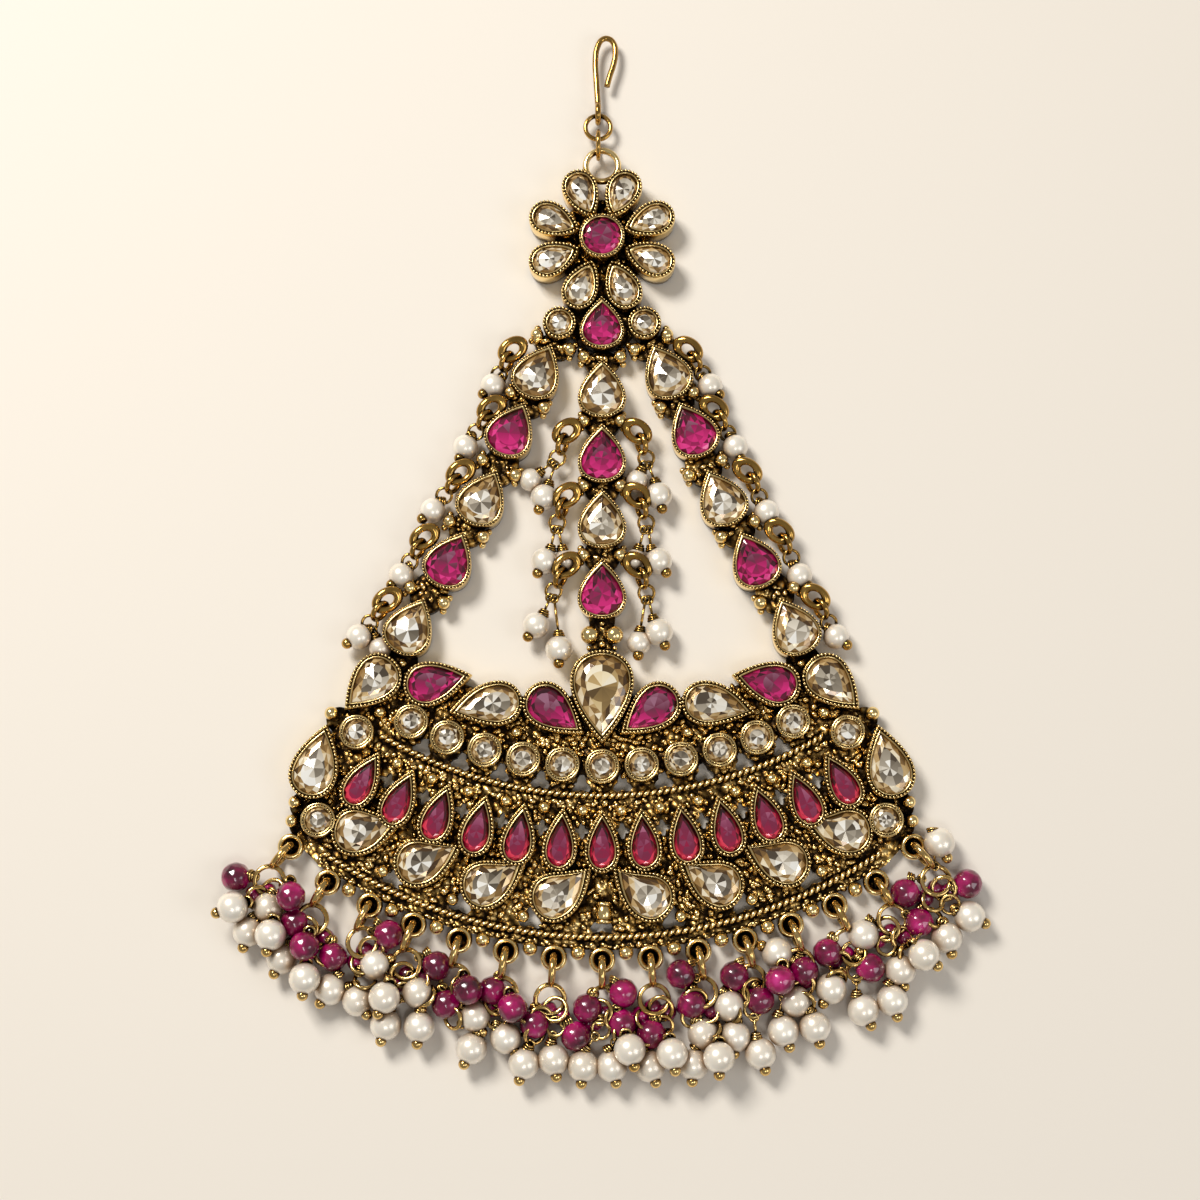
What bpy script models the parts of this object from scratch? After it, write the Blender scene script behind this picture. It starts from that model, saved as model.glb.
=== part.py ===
# A jhoomar, the fan-shaped ornament worn on the side of the head, lying face up.
# Metres, +Z out of its face and +Y towards its hook. The origin is on the flat back
# of the crescent, behind the large golden crystal, on the line of symmetry.

import math

import bmesh
import bpy
from mathutils import Matrix, Vector

MM = 0.001

# Castings
WEB_THICKNESS = 1.2 * MM
SETTING_FLOOR = 0.3 * MM
SETTING_TOP = 3.0 * MM
WALL_TAPER = 0.96
RIM = 0.72 * MM
STONE_RISE = 0.35 * MM
SEAT_DEPTH = 1.1 * MM
STONE_CLEARANCE = 0.15 * MM
STONE_DEPTH = 0.6 * MM
TABLE_SHARE = 0.55
STONE_SIDES = 8
LARGE_STONE_SIDES = 10
SOLDER_OVERLAP = 0.3 * MM
SMOOTH_BELOW = math.radians(50)
MERGE_DISTANCE = 0.001 * MM

# Bezels, measured over their walls
ROUND_BEZEL = 4.3 * MM
PETAL_WIDTH = 4.7 * MM
PETAL_LENGTH = 6.9 * MM
LINK_WIDTH = 6.1 * MM
LINK_LENGTH = 7.7 * MM
APEX_WIDTH = 5.7 * MM
APEX_LENGTH = 7.0 * MM
TEARDROP_WIDTH = 4.3 * MM
TEARDROP_LENGTH = 7.8 * MM
LOWER_LEAF_WIDTH = 6.0 * MM
LOWER_LEAF_LENGTH = 8.6 * MM
LOWER_LEAF_TOP = 2.8 * MM
CRYSTAL_WIDTH = 7.9 * MM
CRYSTAL_LENGTH = 11.6 * MM
CRYSTAL_TOP = 3.4 * MM
FLOWER_RUBY_BEZEL = 5.8 * MM
FLOWER_RUBY_TOP = 4.6 * MM
PETAL_TOP = 3.4 * MM
APEX_TOP = 3.2 * MM

# Crown: the flower, the plate under it and the three stones of the apex
FLOWER_Y = 58.9 * MM
PETAL_COUNT = 8
PETAL_OVERLAP = 0.15 * MM
FLOWER_PLATE_RADIUS = 6.0 * MM
FLOWER_PLATE_SIDES = 16
APEX_Y = 47.9 * MM
APEX_ROUND_X = 5.4 * MM
NECK_WIDTHS = [(-2.9, 4.8), (0.5, 11.2), (3.1, 7.2), (8.1, 4.8)]
NECK_RAISE = 0.1 * MM

# Rows of the crescent. Each runs along an arc that is lowest on the line of symmetry, at
# a step below the row before it, and a gap between neighbours sets its pitch.
ROUND_ROW_RADIUS = 52.5 * MM
ROUND_ROW_COUNT = 11
ROUND_ROW_GAP = 0.55 * MM
ROUND_ROW_STEP = 0.55 * MM
UPPER_ROPE_RADIUS = 53.7 * MM
UPPER_ROPE_HALF_ANGLE = math.radians(30)
UPPER_ROPE_STEP = 0.9 * MM
TEARDROP_ROW_RADIUS = 60.2 * MM
TEARDROP_ROW_COUNT = 13
TEARDROP_ROW_GAP = 0.76 * MM
TEARDROP_ROW_STEP = 1.25 * MM
LEAF_ROW_RADIUS = 58.2 * MM
LEAF_ROW_COUNT = 4
LEAF_ROW_OVERLAP = 0.17 * MM
LEAF_ROW_STEP = -0.5 * MM
LEAF_ROW_START = 0.55
LEAF_TURN = math.radians(62)
LEAF_BEND = 0.12
LOWER_ROPE_RADIUS = 61.6 * MM
LOWER_ROPE_HALF_ANGLE = math.radians(33)
LOWER_ROPE_STEP = 1.65 * MM
WEB_BORDER = 1.6 * MM
EYELET_ROW_COUNT = 13
EYELET_ROW_MARGIN = math.radians(1.8)
END_EYELET_STEP = (0.55 * MM, -0.75 * MM)
END_EYELET_TURN = math.radians(40)
ROPE_RADIUS = 0.45 * MM
ROPE_HEIGHT = 1.3 * MM
ROPE_STEPS = 12
ROUND_GAP_WIDTH = 1.6 * MM
TEARDROP_GAP_WIDTH = 1.2 * MM
LEAF_GAP_WIDTH = 1.8 * MM

# Settings above and beside the row of rounds, on the right: angle along that row, rise
# towards its centre, turn of the tip from +Y in degrees, width, length and sideways bend
TOP_SETTINGS = {
    "ruby_drop": dict(angle=7.1, rise=6.3, turn=128, width=5.7, length=8.8, bend=0.0),
    "clear_leaf": dict(angle=17.7, rise=5.4, turn=-95, width=5.6, length=9.2, bend=0.1),
    "ruby_leaf": dict(angle=25.6, rise=5.8, turn=78, width=5.6, length=8.6, bend=0.0),
    "outer_leaf": dict(angle=33.9, rise=1.3, turn=-135, width=6.0, length=8.6, bend=0.0),
    "side_teardrop": dict(angle=33.9, rise=-10.0, turn=14, width=6.0, length=9.4, bend=0.0),
}
CORNER_ROUNDS = [(31.9, -4.4), (30.3, -15.9)]

# The right half of the web's upper edge, as the same angle and rise
WEB_EDGE = [
    (0.0, 11.0), (7.3, 7.5), (17.4, 7.0), (26.6, 6.7), (35.5, 2.5), (34.4, -2.3),
    (34.7, -10.8), (32.0, -16.6), (31.3, -19.4),
]
LOWER_EDGE_ANGLES = [math.radians(value) for value in (33, 24, 16, 8, 0)]

# Strands: links from the crown down, as centre x and y in millimetres
STRAND_TURN = math.radians(25)
OUTER_STRAND = [(8.0, 41.6), (11.3, 34.0), (14.8, 25.2), (18.8, 17.3), (23.6, 8.9)]
CENTRE_STRAND = [(0.0, 39.3), (0.0, 30.9), (0.0, 22.5), (0.0, 13.6)]

# Yoke: the backing plate behind a link's point, which carries its granules
YOKE_WIDTH = 5.2 * MM
YOKE_TOP_WIDTH = 4.0 * MM
YOKE_ROOT = 1.2 * MM
YOKE_OVERLAP = 0.6 * MM
FIRST_YOKE_REACH = 0.5 * MM
YOKE_FLOOR = 0.1 * MM
YOKE_TOP = 1.7 * MM
GRANULE_RADIUS = 0.85 * MM
GRANULE_TOP = 2.9 * MM
GRANULE_SIDES = 6
GRANULE_ACROSS = 2.3 * MM
GRANULE_ALONG = 0.5 * MM
GRANULE_HEAD_SHARE = 0.5
TAIL_WIDTH = 3.2 * MM
TAIL_LENGTH = 3.6 * MM
TAIL_GRANULE_X = 1.5 * MM

# Rings, loops and beads
RING_SIDES = 10
WIRE_SIDES = 5
EYELET_RADIUS = 1.3 * MM
EYELET_WIRE = 0.35 * MM
EYELET_SIDES = 8
EYELET_WIRE_SIDES = 4
EYELET_HEIGHT = 1.3 * MM
RING_RADIUS = 1.5 * MM
RING_WIRE = 0.3 * MM
LOOP_RADIUS = 1.25 * MM
LOOP_WIRE = 0.4 * MM
LOOP_HEIGHT = 2.0 * MM
LOOP_DIRECTION = math.radians(-33)
SIDE_DROP_HANG = math.radians(35)
SIDE_PIN = 0.7 * MM
SIDE_PEARL_RADIUS = 1.6 * MM
PEARL_RADIUS = 1.9 * MM
RUBY_BEAD_RADIUS = 1.85 * MM
BEAD_SIDES = 10
BEAD_LATITUDES = [math.radians(value) for value in (50, 105, 160)]
HEAD_RADIUS = 0.6 * MM
PIN_RADIUS = 0.25 * MM
LAYER_HEIGHT = 2.1 * MM

# Beads of the fringe, one list for each eyelet from left to right: kind, place from the
# eyelet along x and y in millimetres, and layer, where 0 lies on the surface
FRINGE = [
    [("ruby", -6.5, -3.7, 0), ("headed_pearl", -7.7, -7.7, 0), ("pearl", -4.1, -9.7, 0)],
    [("pearl", -5.3, -8.4, 1), ("pearl", -1.7, -11.5, 0)],
    [("pearl", -2.2, -10.9, 1), ("pearl", 2.2, -11.2, 0)],
    [("pearl", 0.9, -12.0, 0)],
    [("pearl", 1.7, -12.6, 0)],
    [("pearl", 0.3, -10.5, 0)],
    [("ruby", 2.9, -9.1, 1), ("pearl", 0.1, -12.2, 0)],
    [("headed_pearl", 0.3, -12.4, 0)],
    [("pearl", 2.2, -12.1, 0)],
    [("pearl", 1.0, -10.5, 0)],
    [("pearl", 1.1, -12.8, 0)],
    [("ruby", 2.1, -5.3, 1), ("pearl", 2.8, -12.2, 0)],
    [("ruby", 4.2, -7.5, 1), ("pearl", 3.8, -12.6, 0)],
    [("ruby", 4.6, -4.8, 0)],
    [("headed_ruby", 6.4, -4.5, 0), ("pearl", 6.7, -8.8, 0)],
]

# Bail, the two rings above it and the wire hook, whose eye takes the upper ring
BAIL_RADIUS = 2.1 * MM
BAIL_WIRE = 0.4 * MM
BAIL_HEIGHT = 2.0 * MM
BAIL_OVERLAP = 0.05 * MM
CHAIN_X = -0.5 * MM
CHAIN_RING_RADIUS = 1.75 * MM
CHAIN_RING_WIRE = 0.3 * MM
CHAIN_SLACK = 0.3 * MM
UPPER_RING_HEIGHT = 1.6 * MM
HOOK_WIRE = 0.38 * MM
HOOK_EYE_RADIUS = 1.15 * MM
HOOK_SMOOTHNESS = 1

# The hook's wire from the top of its eye, as x and y in millimetres
HOOK_ROUTE = [
    (0.0, 0.0), (-0.1, 1.6), (-0.25, 3.9), (-0.35, 6.4), (-0.05, 8.4), (0.6, 9.5),
    (1.4, 9.6), (2.05, 8.8), (2.25, 7.4), (2.0, 5.8), (1.5, 4.2), (1.15, 2.8),
]

FINISHES = {
    "antique_gold": dict(colour=(0.55, 0.38, 0.16), metallic=1.0, roughness=0.35),
    "ruby_glass": dict(colour=(0.55, 0.02, 0.18), metallic=0.0, roughness=0.08),
    "clear_glass": dict(colour=(0.85, 0.80, 0.68), metallic=0.0, roughness=0.08),
    "pearl": dict(colour=(0.93, 0.89, 0.82), metallic=0.0, roughness=0.25),
}

# Where each row is lowest, from the golden crystal down
ROUND_ROW_Y = -CRYSTAL_LENGTH / 2 - ROUND_ROW_STEP - ROUND_BEZEL / 2
UPPER_ROPE_Y = ROUND_ROW_Y - ROUND_BEZEL / 2 - UPPER_ROPE_STEP - ROPE_RADIUS
TEARDROP_ROW_Y = UPPER_ROPE_Y - ROPE_RADIUS - TEARDROP_ROW_STEP - TEARDROP_LENGTH / 2
LEAF_ROW_Y = TEARDROP_ROW_Y - TEARDROP_LENGTH / 2 - LEAF_ROW_STEP - LOWER_LEAF_WIDTH / 2
LOWER_ROPE_Y = LEAF_ROW_Y - LOWER_LEAF_WIDTH / 2 - LOWER_ROPE_STEP - ROPE_RADIUS
EYELET_ROW_DROP = WEB_BORDER + EYELET_RADIUS - SOLDER_OVERLAP + EYELET_WIRE / 4

ROUND_ROW_PITCH = (ROUND_BEZEL + ROUND_ROW_GAP) / ROUND_ROW_RADIUS
TEARDROP_ROW_PITCH = (TEARDROP_WIDTH + TEARDROP_ROW_GAP) / TEARDROP_ROW_RADIUS
LEAF_ROW_PITCH = (LOWER_LEAF_LENGTH - LEAF_ROW_OVERLAP) / LEAF_ROW_RADIUS
EYELET_ROW_PITCH = 2 * (LOWER_ROPE_HALF_ANGLE - EYELET_ROW_MARGIN) / (EYELET_ROW_COUNT - 1)


def clear_scene():
    for item in list(bpy.data.objects):
        bpy.data.objects.remove(item, do_unlink=True)


def make_collection(name):
    collection = bpy.data.collections.new(name)
    bpy.context.scene.collection.children.link(collection)
    return collection


def make_finish(name):
    values = FINISHES[name]
    finish = bpy.data.materials.new(name)
    finish.use_nodes = True
    shader = finish.node_tree.nodes["Principled BSDF"]
    shader.inputs["Base Color"].default_value = (*values["colour"], 1.0)
    shader.inputs["Metallic"].default_value = values["metallic"]
    shader.inputs["Roughness"].default_value = values["roughness"]
    return finish


def place(x, y, turn=0.0, height=0.0):
    return Matrix.Translation((x, y, height)) @ Matrix.Rotation(turn, 4, "Z")


def on_row(lowest, radius, angle):
    return radius * math.sin(angle), lowest + radius * (1.0 - math.cos(angle))


def beside_rounds(angle, rise):
    # a place at an angle along the row of rounds, and a rise in millimetres from it
    radius = ROUND_ROW_RADIUS - rise * MM
    turn = math.radians(angle)
    return radius * math.sin(turn), ROUND_ROW_Y + ROUND_ROW_RADIUS - radius * math.cos(turn)


def row_angles(count, pitch):
    return [pitch * (index - (count - 1) / 2) for index in range(count)]


def round_outline(width, sides=STONE_SIDES):
    turns = [math.tau * (index + 0.5) / sides for index in range(sides)]
    return [(width / 2 * math.sin(turn), width / 2 * math.cos(turn)) for turn in turns]


def drop_outline(width, length, bend=0.0, sides=LARGE_STONE_SIDES):
    # a teardrop with its point at +Y; the curve's own half width is 0.77
    outline = []
    for index in range(sides):
        turn = math.tau * index / sides
        across = math.sin(turn) * math.sin(turn / 2) / 0.77
        along = math.cos(turn)
        sideways = bend * width * max(along, 0.0) ** 2
        outline.append((across * width / 2 + sideways, along * length / 2))
    return outline


def stacked(outline, steps, matrix):
    # a closed body that rises through steps of height and share of the outline's width
    body = bmesh.new()
    first_height, share = steps[0]
    corners = [body.verts.new((x * share, y * share, first_height)) for x, y in outline]
    base = body.faces.new(corners)
    made = bmesh.ops.extrude_face_region(body, geom=[base])["geom"]
    top = next(item for item in made if isinstance(item, bmesh.types.BMFace))
    for number, (height, next_share) in enumerate(steps[1:]):
        if number > 0:
            top = bmesh.ops.extrude_discrete_faces(body, faces=[top])["faces"][0]
        for corner in top.verts:
            corner.co = Vector((corner.co.x * next_share / share, corner.co.y * next_share / share, height))
        share = next_share
    bmesh.ops.recalc_face_normals(body, faces=body.faces)
    body.transform(matrix)
    return body


def rim_share(width):
    return 1.0 - 2.0 * RIM / width


def stone_setting(outline, width, matrix, top=SETTING_TOP):
    # a bezel with its cut stone fused into it: wall, flat rim, crown facets and table
    inner = rim_share(width)
    steps = [(SETTING_FLOOR, WALL_TAPER), (top, 1.0), (top, inner), (top + STONE_RISE, inner * TABLE_SHARE)]
    return stacked(outline, steps, matrix)


def open_setting(outline, width, matrix, top=SETTING_TOP, floor=SETTING_FLOOR):
    # a bezel whose stone is a piece of its own
    inner = rim_share(width)
    steps = [(floor, WALL_TAPER), (top, 1.0), (top, inner), (top - SEAT_DEPTH, inner)]
    return stacked(outline, steps, matrix)


def loose_stone(outline, width, matrix, top=SETTING_TOP):
    # a flat-backed stone: girdle just inside the bezel's mouth, crown facets and table
    girdle = rim_share(width) - 2.0 * STONE_CLEARANCE / width
    steps = [(top - STONE_DEPTH, girdle), (top + STONE_RISE, girdle * TABLE_SHARE)]
    return stacked(outline, steps, matrix)


def plate(points, bottom, top):
    return stacked(points, [(bottom, 1.0), (top, 1.0)], Matrix.Identity(4))


def granule(x, y):
    # a solder bead: a short post with a rounded head
    outline = round_outline(2 * GRANULE_RADIUS, GRANULE_SIDES)
    shoulder = GRANULE_TOP - GRANULE_RADIUS
    steps = [(SETTING_FLOOR, 1.0), (shoulder, 1.0), (GRANULE_TOP, GRANULE_HEAD_SHARE)]
    return stacked(outline, steps, place(x, y))


def ring(radius, wire, matrix, sides=RING_SIDES, wire_sides=WIRE_SIDES):
    body = bmesh.new()
    section = Matrix.Translation((radius, 0, 0)) @ Matrix.Rotation(math.pi / 2, 4, "X")
    made = bmesh.ops.create_circle(body, segments=wire_sides, radius=wire, matrix=section)
    geometry = made["verts"] + body.edges[:]
    bmesh.ops.spin(
        body, geom=geometry, cent=(0, 0, 0), axis=(0, 0, 1), angle=math.tau, steps=sides, use_merge=True
    )
    bmesh.ops.remove_doubles(body, verts=body.verts, dist=MERGE_DISTANCE)
    bmesh.ops.recalc_face_normals(body, faces=body.faces)
    body.transform(matrix)
    return body


def upright(centre, heading):
    # turns a flat ring into the vertical plane that holds the plan direction heading
    flat_to_vertical = Matrix.Rotation(heading, 4, "Z") @ Matrix.Rotation(math.pi / 2, 4, "X")
    return Matrix.Translation(centre) @ flat_to_vertical


def arc_rope(lowest, radius, half_angle):
    # a rope's round body along a row, closed at both ends
    body = bmesh.new()
    centre = (0, lowest + radius, 0)
    start = Matrix.Translation((0, centre[1], ROPE_HEIGHT)) @ Matrix.Rotation(-half_angle, 4, "Z")
    section = start @ Matrix.Translation((0, -radius, 0)) @ Matrix.Rotation(math.pi / 2, 4, "Y")
    bmesh.ops.create_circle(body, cap_ends=True, segments=WIRE_SIDES, radius=ROPE_RADIUS, matrix=section)
    bmesh.ops.spin(
        body, geom=body.faces[:], cent=centre, axis=(0, 0, 1), angle=2 * half_angle,
        steps=ROPE_STEPS, use_merge=False,
    )
    bmesh.ops.recalc_face_normals(body, faces=body.faces)
    return body


def bead_drop(centre, root, radius, headed=False):
    # a bead on its pin, which tapers to the ring at root; the head ball is beyond
    axis = root - centre
    profile = [(0.0, -radius)]
    if headed:
        profile = [
            (0.0, -radius - 2 * HEAD_RADIUS), (HEAD_RADIUS, -radius - HEAD_RADIUS), (PIN_RADIUS, -radius),
        ]
    for latitude in BEAD_LATITUDES:
        profile.append((radius * math.sin(latitude), -radius * math.cos(latitude)))
    profile.append((0.0, axis.length))
    body = bmesh.new()
    corners = [body.verts.new((across, 0, along)) for across, along in profile]
    edges = [body.edges.new(pair) for pair in zip(corners, corners[1:])]
    bmesh.ops.spin(
        body, geom=corners + edges, cent=(0, 0, 0), axis=(0, 0, 1), angle=math.tau,
        steps=BEAD_SIDES, use_merge=True,
    )
    bmesh.ops.remove_doubles(body, verts=body.verts, dist=MERGE_DISTANCE)
    bmesh.ops.recalc_face_normals(body, faces=body.faces)
    body.transform(Matrix.Translation(centre) @ axis.to_track_quat("Z", "Y").to_matrix().to_4x4())
    return body


def add_object(name, body, collection, finish=None):
    mesh = bpy.data.meshes.new(name)
    body.to_mesh(mesh)
    body.free()
    mesh.shade_smooth()
    mesh.set_sharp_from_angle(angle=SMOOTH_BELOW)
    if finish:
        mesh.materials.append(finish)
    item = bpy.data.objects.new(name, mesh)
    collection.objects.link(item)
    return item


def add_tools(name, bodies):
    # bodies that a Boolean joins to a casting or cuts from it
    group = bpy.data.collections.new(name)
    tools.children.link(group)
    for number, body in enumerate(bodies, 1):
        item = add_object(f"{name}_{number:02d}", body, group)
        item.display_type = "WIRE"
        item.hide_render = True
    return group


def boolean(item, operation, group):
    step = item.modifiers.new(operation.capitalize(), "BOOLEAN")
    step.operation = operation
    step.operand_type = "COLLECTION"
    step.collection = group


def casting(name, bodies, finish, holes=()):
    # soldered metal is one solid: every body is joined to the first, then pierced
    item = add_object(name, bodies[0], jhoomar, finish)
    boolean(item, "UNION", add_tools(name + "_bodies", bodies[1:]))
    if holes:
        boolean(item, "DIFFERENCE", add_tools(name + "_gaps", holes))


def chain_heights():
    # y of the bail, the two rings above it and the hook's eye, each hanging in the next
    bail_y = FLOWER_Y + petal_reach() + PETAL_LENGTH / 2 - BAIL_OVERLAP + BAIL_WIRE
    lower_y = bail_y + BAIL_RADIUS + CHAIN_RING_RADIUS - CHAIN_RING_WIRE - BAIL_WIRE - CHAIN_SLACK
    upper_y = lower_y + 2 * (CHAIN_RING_RADIUS - CHAIN_RING_WIRE) - CHAIN_SLACK
    eye_y = upper_y + CHAIN_RING_RADIUS - CHAIN_RING_WIRE + HOOK_EYE_RADIUS - HOOK_WIRE - CHAIN_SLACK
    return bail_y, lower_y, upper_y, eye_y


def wire_along(route, radius):
    # a round wire through the points of a route, as a closed body with its caps welded
    curve = bpy.data.curves.new("wire", "CURVE")
    curve.dimensions = "3D"
    curve.bevel_depth = radius
    curve.bevel_resolution = HOOK_SMOOTHNESS
    curve.use_fill_caps = True
    spline = curve.splines.new("POLY")
    spline.points.add(len(route) - 1)
    for point, position in zip(spline.points, route):
        point.co = (*position, 1.0)
    path = bpy.data.objects.new("wire", curve)
    jhoomar.objects.link(path)
    bpy.context.view_layer.update()
    mesh = bpy.data.meshes.new_from_object(path.evaluated_get(bpy.context.evaluated_depsgraph_get()))
    bpy.data.objects.remove(path)
    body = bmesh.new()
    body.from_mesh(mesh)
    bmesh.ops.remove_doubles(body, verts=body.verts, dist=MERGE_DISTANCE)
    bmesh.ops.recalc_face_normals(body, faces=body.faces)
    return body


def make_hook():
    eye_y = chain_heights()[3]
    eye_height = HOOK_EYE_RADIUS + HOOK_WIRE
    eye = ring(HOOK_EYE_RADIUS, HOOK_WIRE, upright((CHAIN_X, eye_y, eye_height), math.pi / 2))
    start_y = eye_y + HOOK_EYE_RADIUS - HOOK_WIRE / 2
    route = [(CHAIN_X + x * MM, start_y + y * MM, eye_height) for x, y in HOOK_ROUTE]
    casting("hook", [wire_along(route, HOOK_WIRE), eye], gold)


def make_rings():
    lower_y, upper_y = chain_heights()[1:3]
    flat = place(CHAIN_X, upper_y, 0.0, UPPER_RING_HEIGHT)
    add_object("upper_jump_ring", ring(CHAIN_RING_RADIUS, CHAIN_RING_WIRE, flat), jhoomar, gold)
    standing = upright((CHAIN_X, lower_y, CHAIN_RING_RADIUS + CHAIN_RING_WIRE), math.pi / 2)
    add_object("lower_jump_ring", ring(CHAIN_RING_RADIUS, CHAIN_RING_WIRE, standing), jhoomar, gold)


def petal_reach():
    # petals touch the flower's ruby setting with their points
    return FLOWER_RUBY_BEZEL / 2 + PETAL_LENGTH / 2 + PETAL_OVERLAP


def make_crown():
    flower_plate = stacked(
        round_outline(2 * FLOWER_PLATE_RADIUS, FLOWER_PLATE_SIDES),
        [(0.0, 1.0), (WEB_THICKNESS, 1.0)], place(0.0, FLOWER_Y),
    )
    right = [(width / 2 * MM, APEX_Y + rise * MM) for rise, width in NECK_WIDTHS]
    left = [(-x, y) for x, y in reversed(right)]
    bodies = [flower_plate, plate(right + left, NECK_RAISE, WEB_THICKNESS + NECK_RAISE)]
    petal = drop_outline(PETAL_WIDTH, PETAL_LENGTH, sides=STONE_SIDES)
    for index in range(PETAL_COUNT):
        turn = math.tau * (index + 0.5) / PETAL_COUNT
        x = petal_reach() * math.sin(turn)
        y = FLOWER_Y + petal_reach() * math.cos(turn)
        bodies.append(stone_setting(petal, PETAL_WIDTH, place(x, y, math.pi - turn), PETAL_TOP))
    for x in (-APEX_ROUND_X, APEX_ROUND_X):
        bodies.append(stone_setting(round_outline(ROUND_BEZEL), ROUND_BEZEL, place(x, APEX_Y)))
    bodies.append(ring(BAIL_RADIUS, BAIL_WIRE, place(0, chain_heights()[0], 0, BAIL_HEIGHT)))
    centre = round_outline(FLOWER_RUBY_BEZEL)
    apex = drop_outline(APEX_WIDTH, APEX_LENGTH)
    add_set_stone("flower_ruby", bodies, centre, FLOWER_RUBY_BEZEL, place(0, FLOWER_Y), ruby, FLOWER_RUBY_TOP)
    add_set_stone("apex_ruby", bodies, apex, APEX_WIDTH, place(0, APEX_Y), ruby, APEX_TOP)
    casting("crown", bodies, gold)


def add_set_stone(name, bodies, outline, width, matrix, finish, top=SETTING_TOP, floor=SETTING_FLOOR):
    # an open setting joins the casting's bodies, and its stone is a piece of its own
    bodies.append(open_setting(outline, width, matrix, top, floor))
    add_object(name, loose_stone(outline, width, matrix, top), jhoomar, finish)


def yoke(tip, along, across, reach):
    corners = [
        tip + along * reach - across * YOKE_TOP_WIDTH / 2,
        tip + along * reach + across * YOKE_TOP_WIDTH / 2,
        tip - along * YOKE_ROOT + across * YOKE_WIDTH / 2,
        tip - along * YOKE_ROOT - across * YOKE_WIDTH / 2,
    ]
    return plate([tuple(corner) for corner in corners], YOKE_FLOOR, YOKE_TOP)


def make_strand(name, links, side=0):
    # pear links joined point to round end by yokes; side is -1, 1 or 0 for the centre
    turn = side * STRAND_TURN
    along = Vector((-math.sin(turn), math.cos(turn)))
    across = Vector((math.cos(turn), math.sin(turn)))
    outline = drop_outline(LINK_WIDTH, LINK_LENGTH, sides=STONE_SIDES)
    bodies = []
    above = None
    for number, (x, y) in enumerate(links, 1):
        centre = Vector((side * x, y)) * MM
        matrix = place(centre.x, centre.y, turn)
        finish = ruby if number % 2 == 0 else clear
        add_set_stone(f"{name}_stone_{number}", bodies, outline, LINK_WIDTH, matrix, finish, floor=0.0)
        tip = centre + along * LINK_LENGTH / 2
        reach = (above - centre).dot(along) - LINK_LENGTH + YOKE_OVERLAP if above else FIRST_YOKE_REACH
        bodies.append(yoke(tip, along, across, reach))
        if side:
            spot = tip + across * side * GRANULE_ACROSS + along * GRANULE_ALONG
            bodies.append(granule(spot.x, spot.y))
            bodies.append(make_side_drop(f"{name}_drop_{number}", spot, side))
        above = centre
    if not side:
        bodies += strand_tail(above.y - LINK_LENGTH / 2)
    casting(name, bodies, gold)


def strand_tail(link_end):
    # the centre strand ends in a plate with two granules above the golden crystal
    end = link_end - TAIL_LENGTH
    top = link_end + YOKE_OVERLAP
    edge = TAIL_WIDTH / 2
    tail = plate([(-edge, end), (edge, end), (edge, top), (-edge, top)], YOKE_FLOOR, YOKE_TOP)
    return [tail] + [granule(x, end + GRANULE_RADIUS) for x in (-TAIL_GRANULE_X, TAIL_GRANULE_X)]


def make_side_drop(name, spot, side):
    # a flat loop soldered to its granule, which is returned; an upright ring and a pearl hang in it
    reach = LOOP_RADIUS + LOOP_WIRE + GRANULE_RADIUS - SOLDER_OVERLAP
    loop_centre = Vector((
        spot.x + side * reach * math.cos(LOOP_DIRECTION),
        spot.y + reach * math.sin(LOOP_DIRECTION),
        LOOP_HEIGHT,
    ))
    along = Vector((side * math.sin(SIDE_DROP_HANG), -math.cos(SIDE_DROP_HANG), 0))
    height = RING_RADIUS + RING_WIRE
    ring_centre = loop_centre + along * math.sqrt(RING_RADIUS ** 2 - (height - LOOP_HEIGHT) ** 2)
    ring_centre.z = height
    root = ring_centre + along * RING_RADIUS
    pearl_centre = root + along * (SIDE_PEARL_RADIUS + SIDE_PIN)
    pearl_centre.z = SIDE_PEARL_RADIUS
    standing = upright(ring_centre, math.atan2(along.y, along.x))
    bodies = [ring(RING_RADIUS, RING_WIRE, standing), bead_drop(pearl_centre, root, SIDE_PEARL_RADIUS)]
    casting(name, bodies, pearl)
    return ring(LOOP_RADIUS, LOOP_WIRE, Matrix.Translation(loop_centre))


def web_outline():
    upper = [beside_rounds(angle, rise) for angle, rise in WEB_EDGE]
    lower = [
        on_row(LOWER_ROPE_Y - WEB_BORDER, LOWER_ROPE_RADIUS + WEB_BORDER, angle)
        for angle in LOWER_EDGE_ANGLES
    ]
    right = upper + lower
    left = [(-x, y) for x, y in right[-2:0:-1]]
    return right + left


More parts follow.
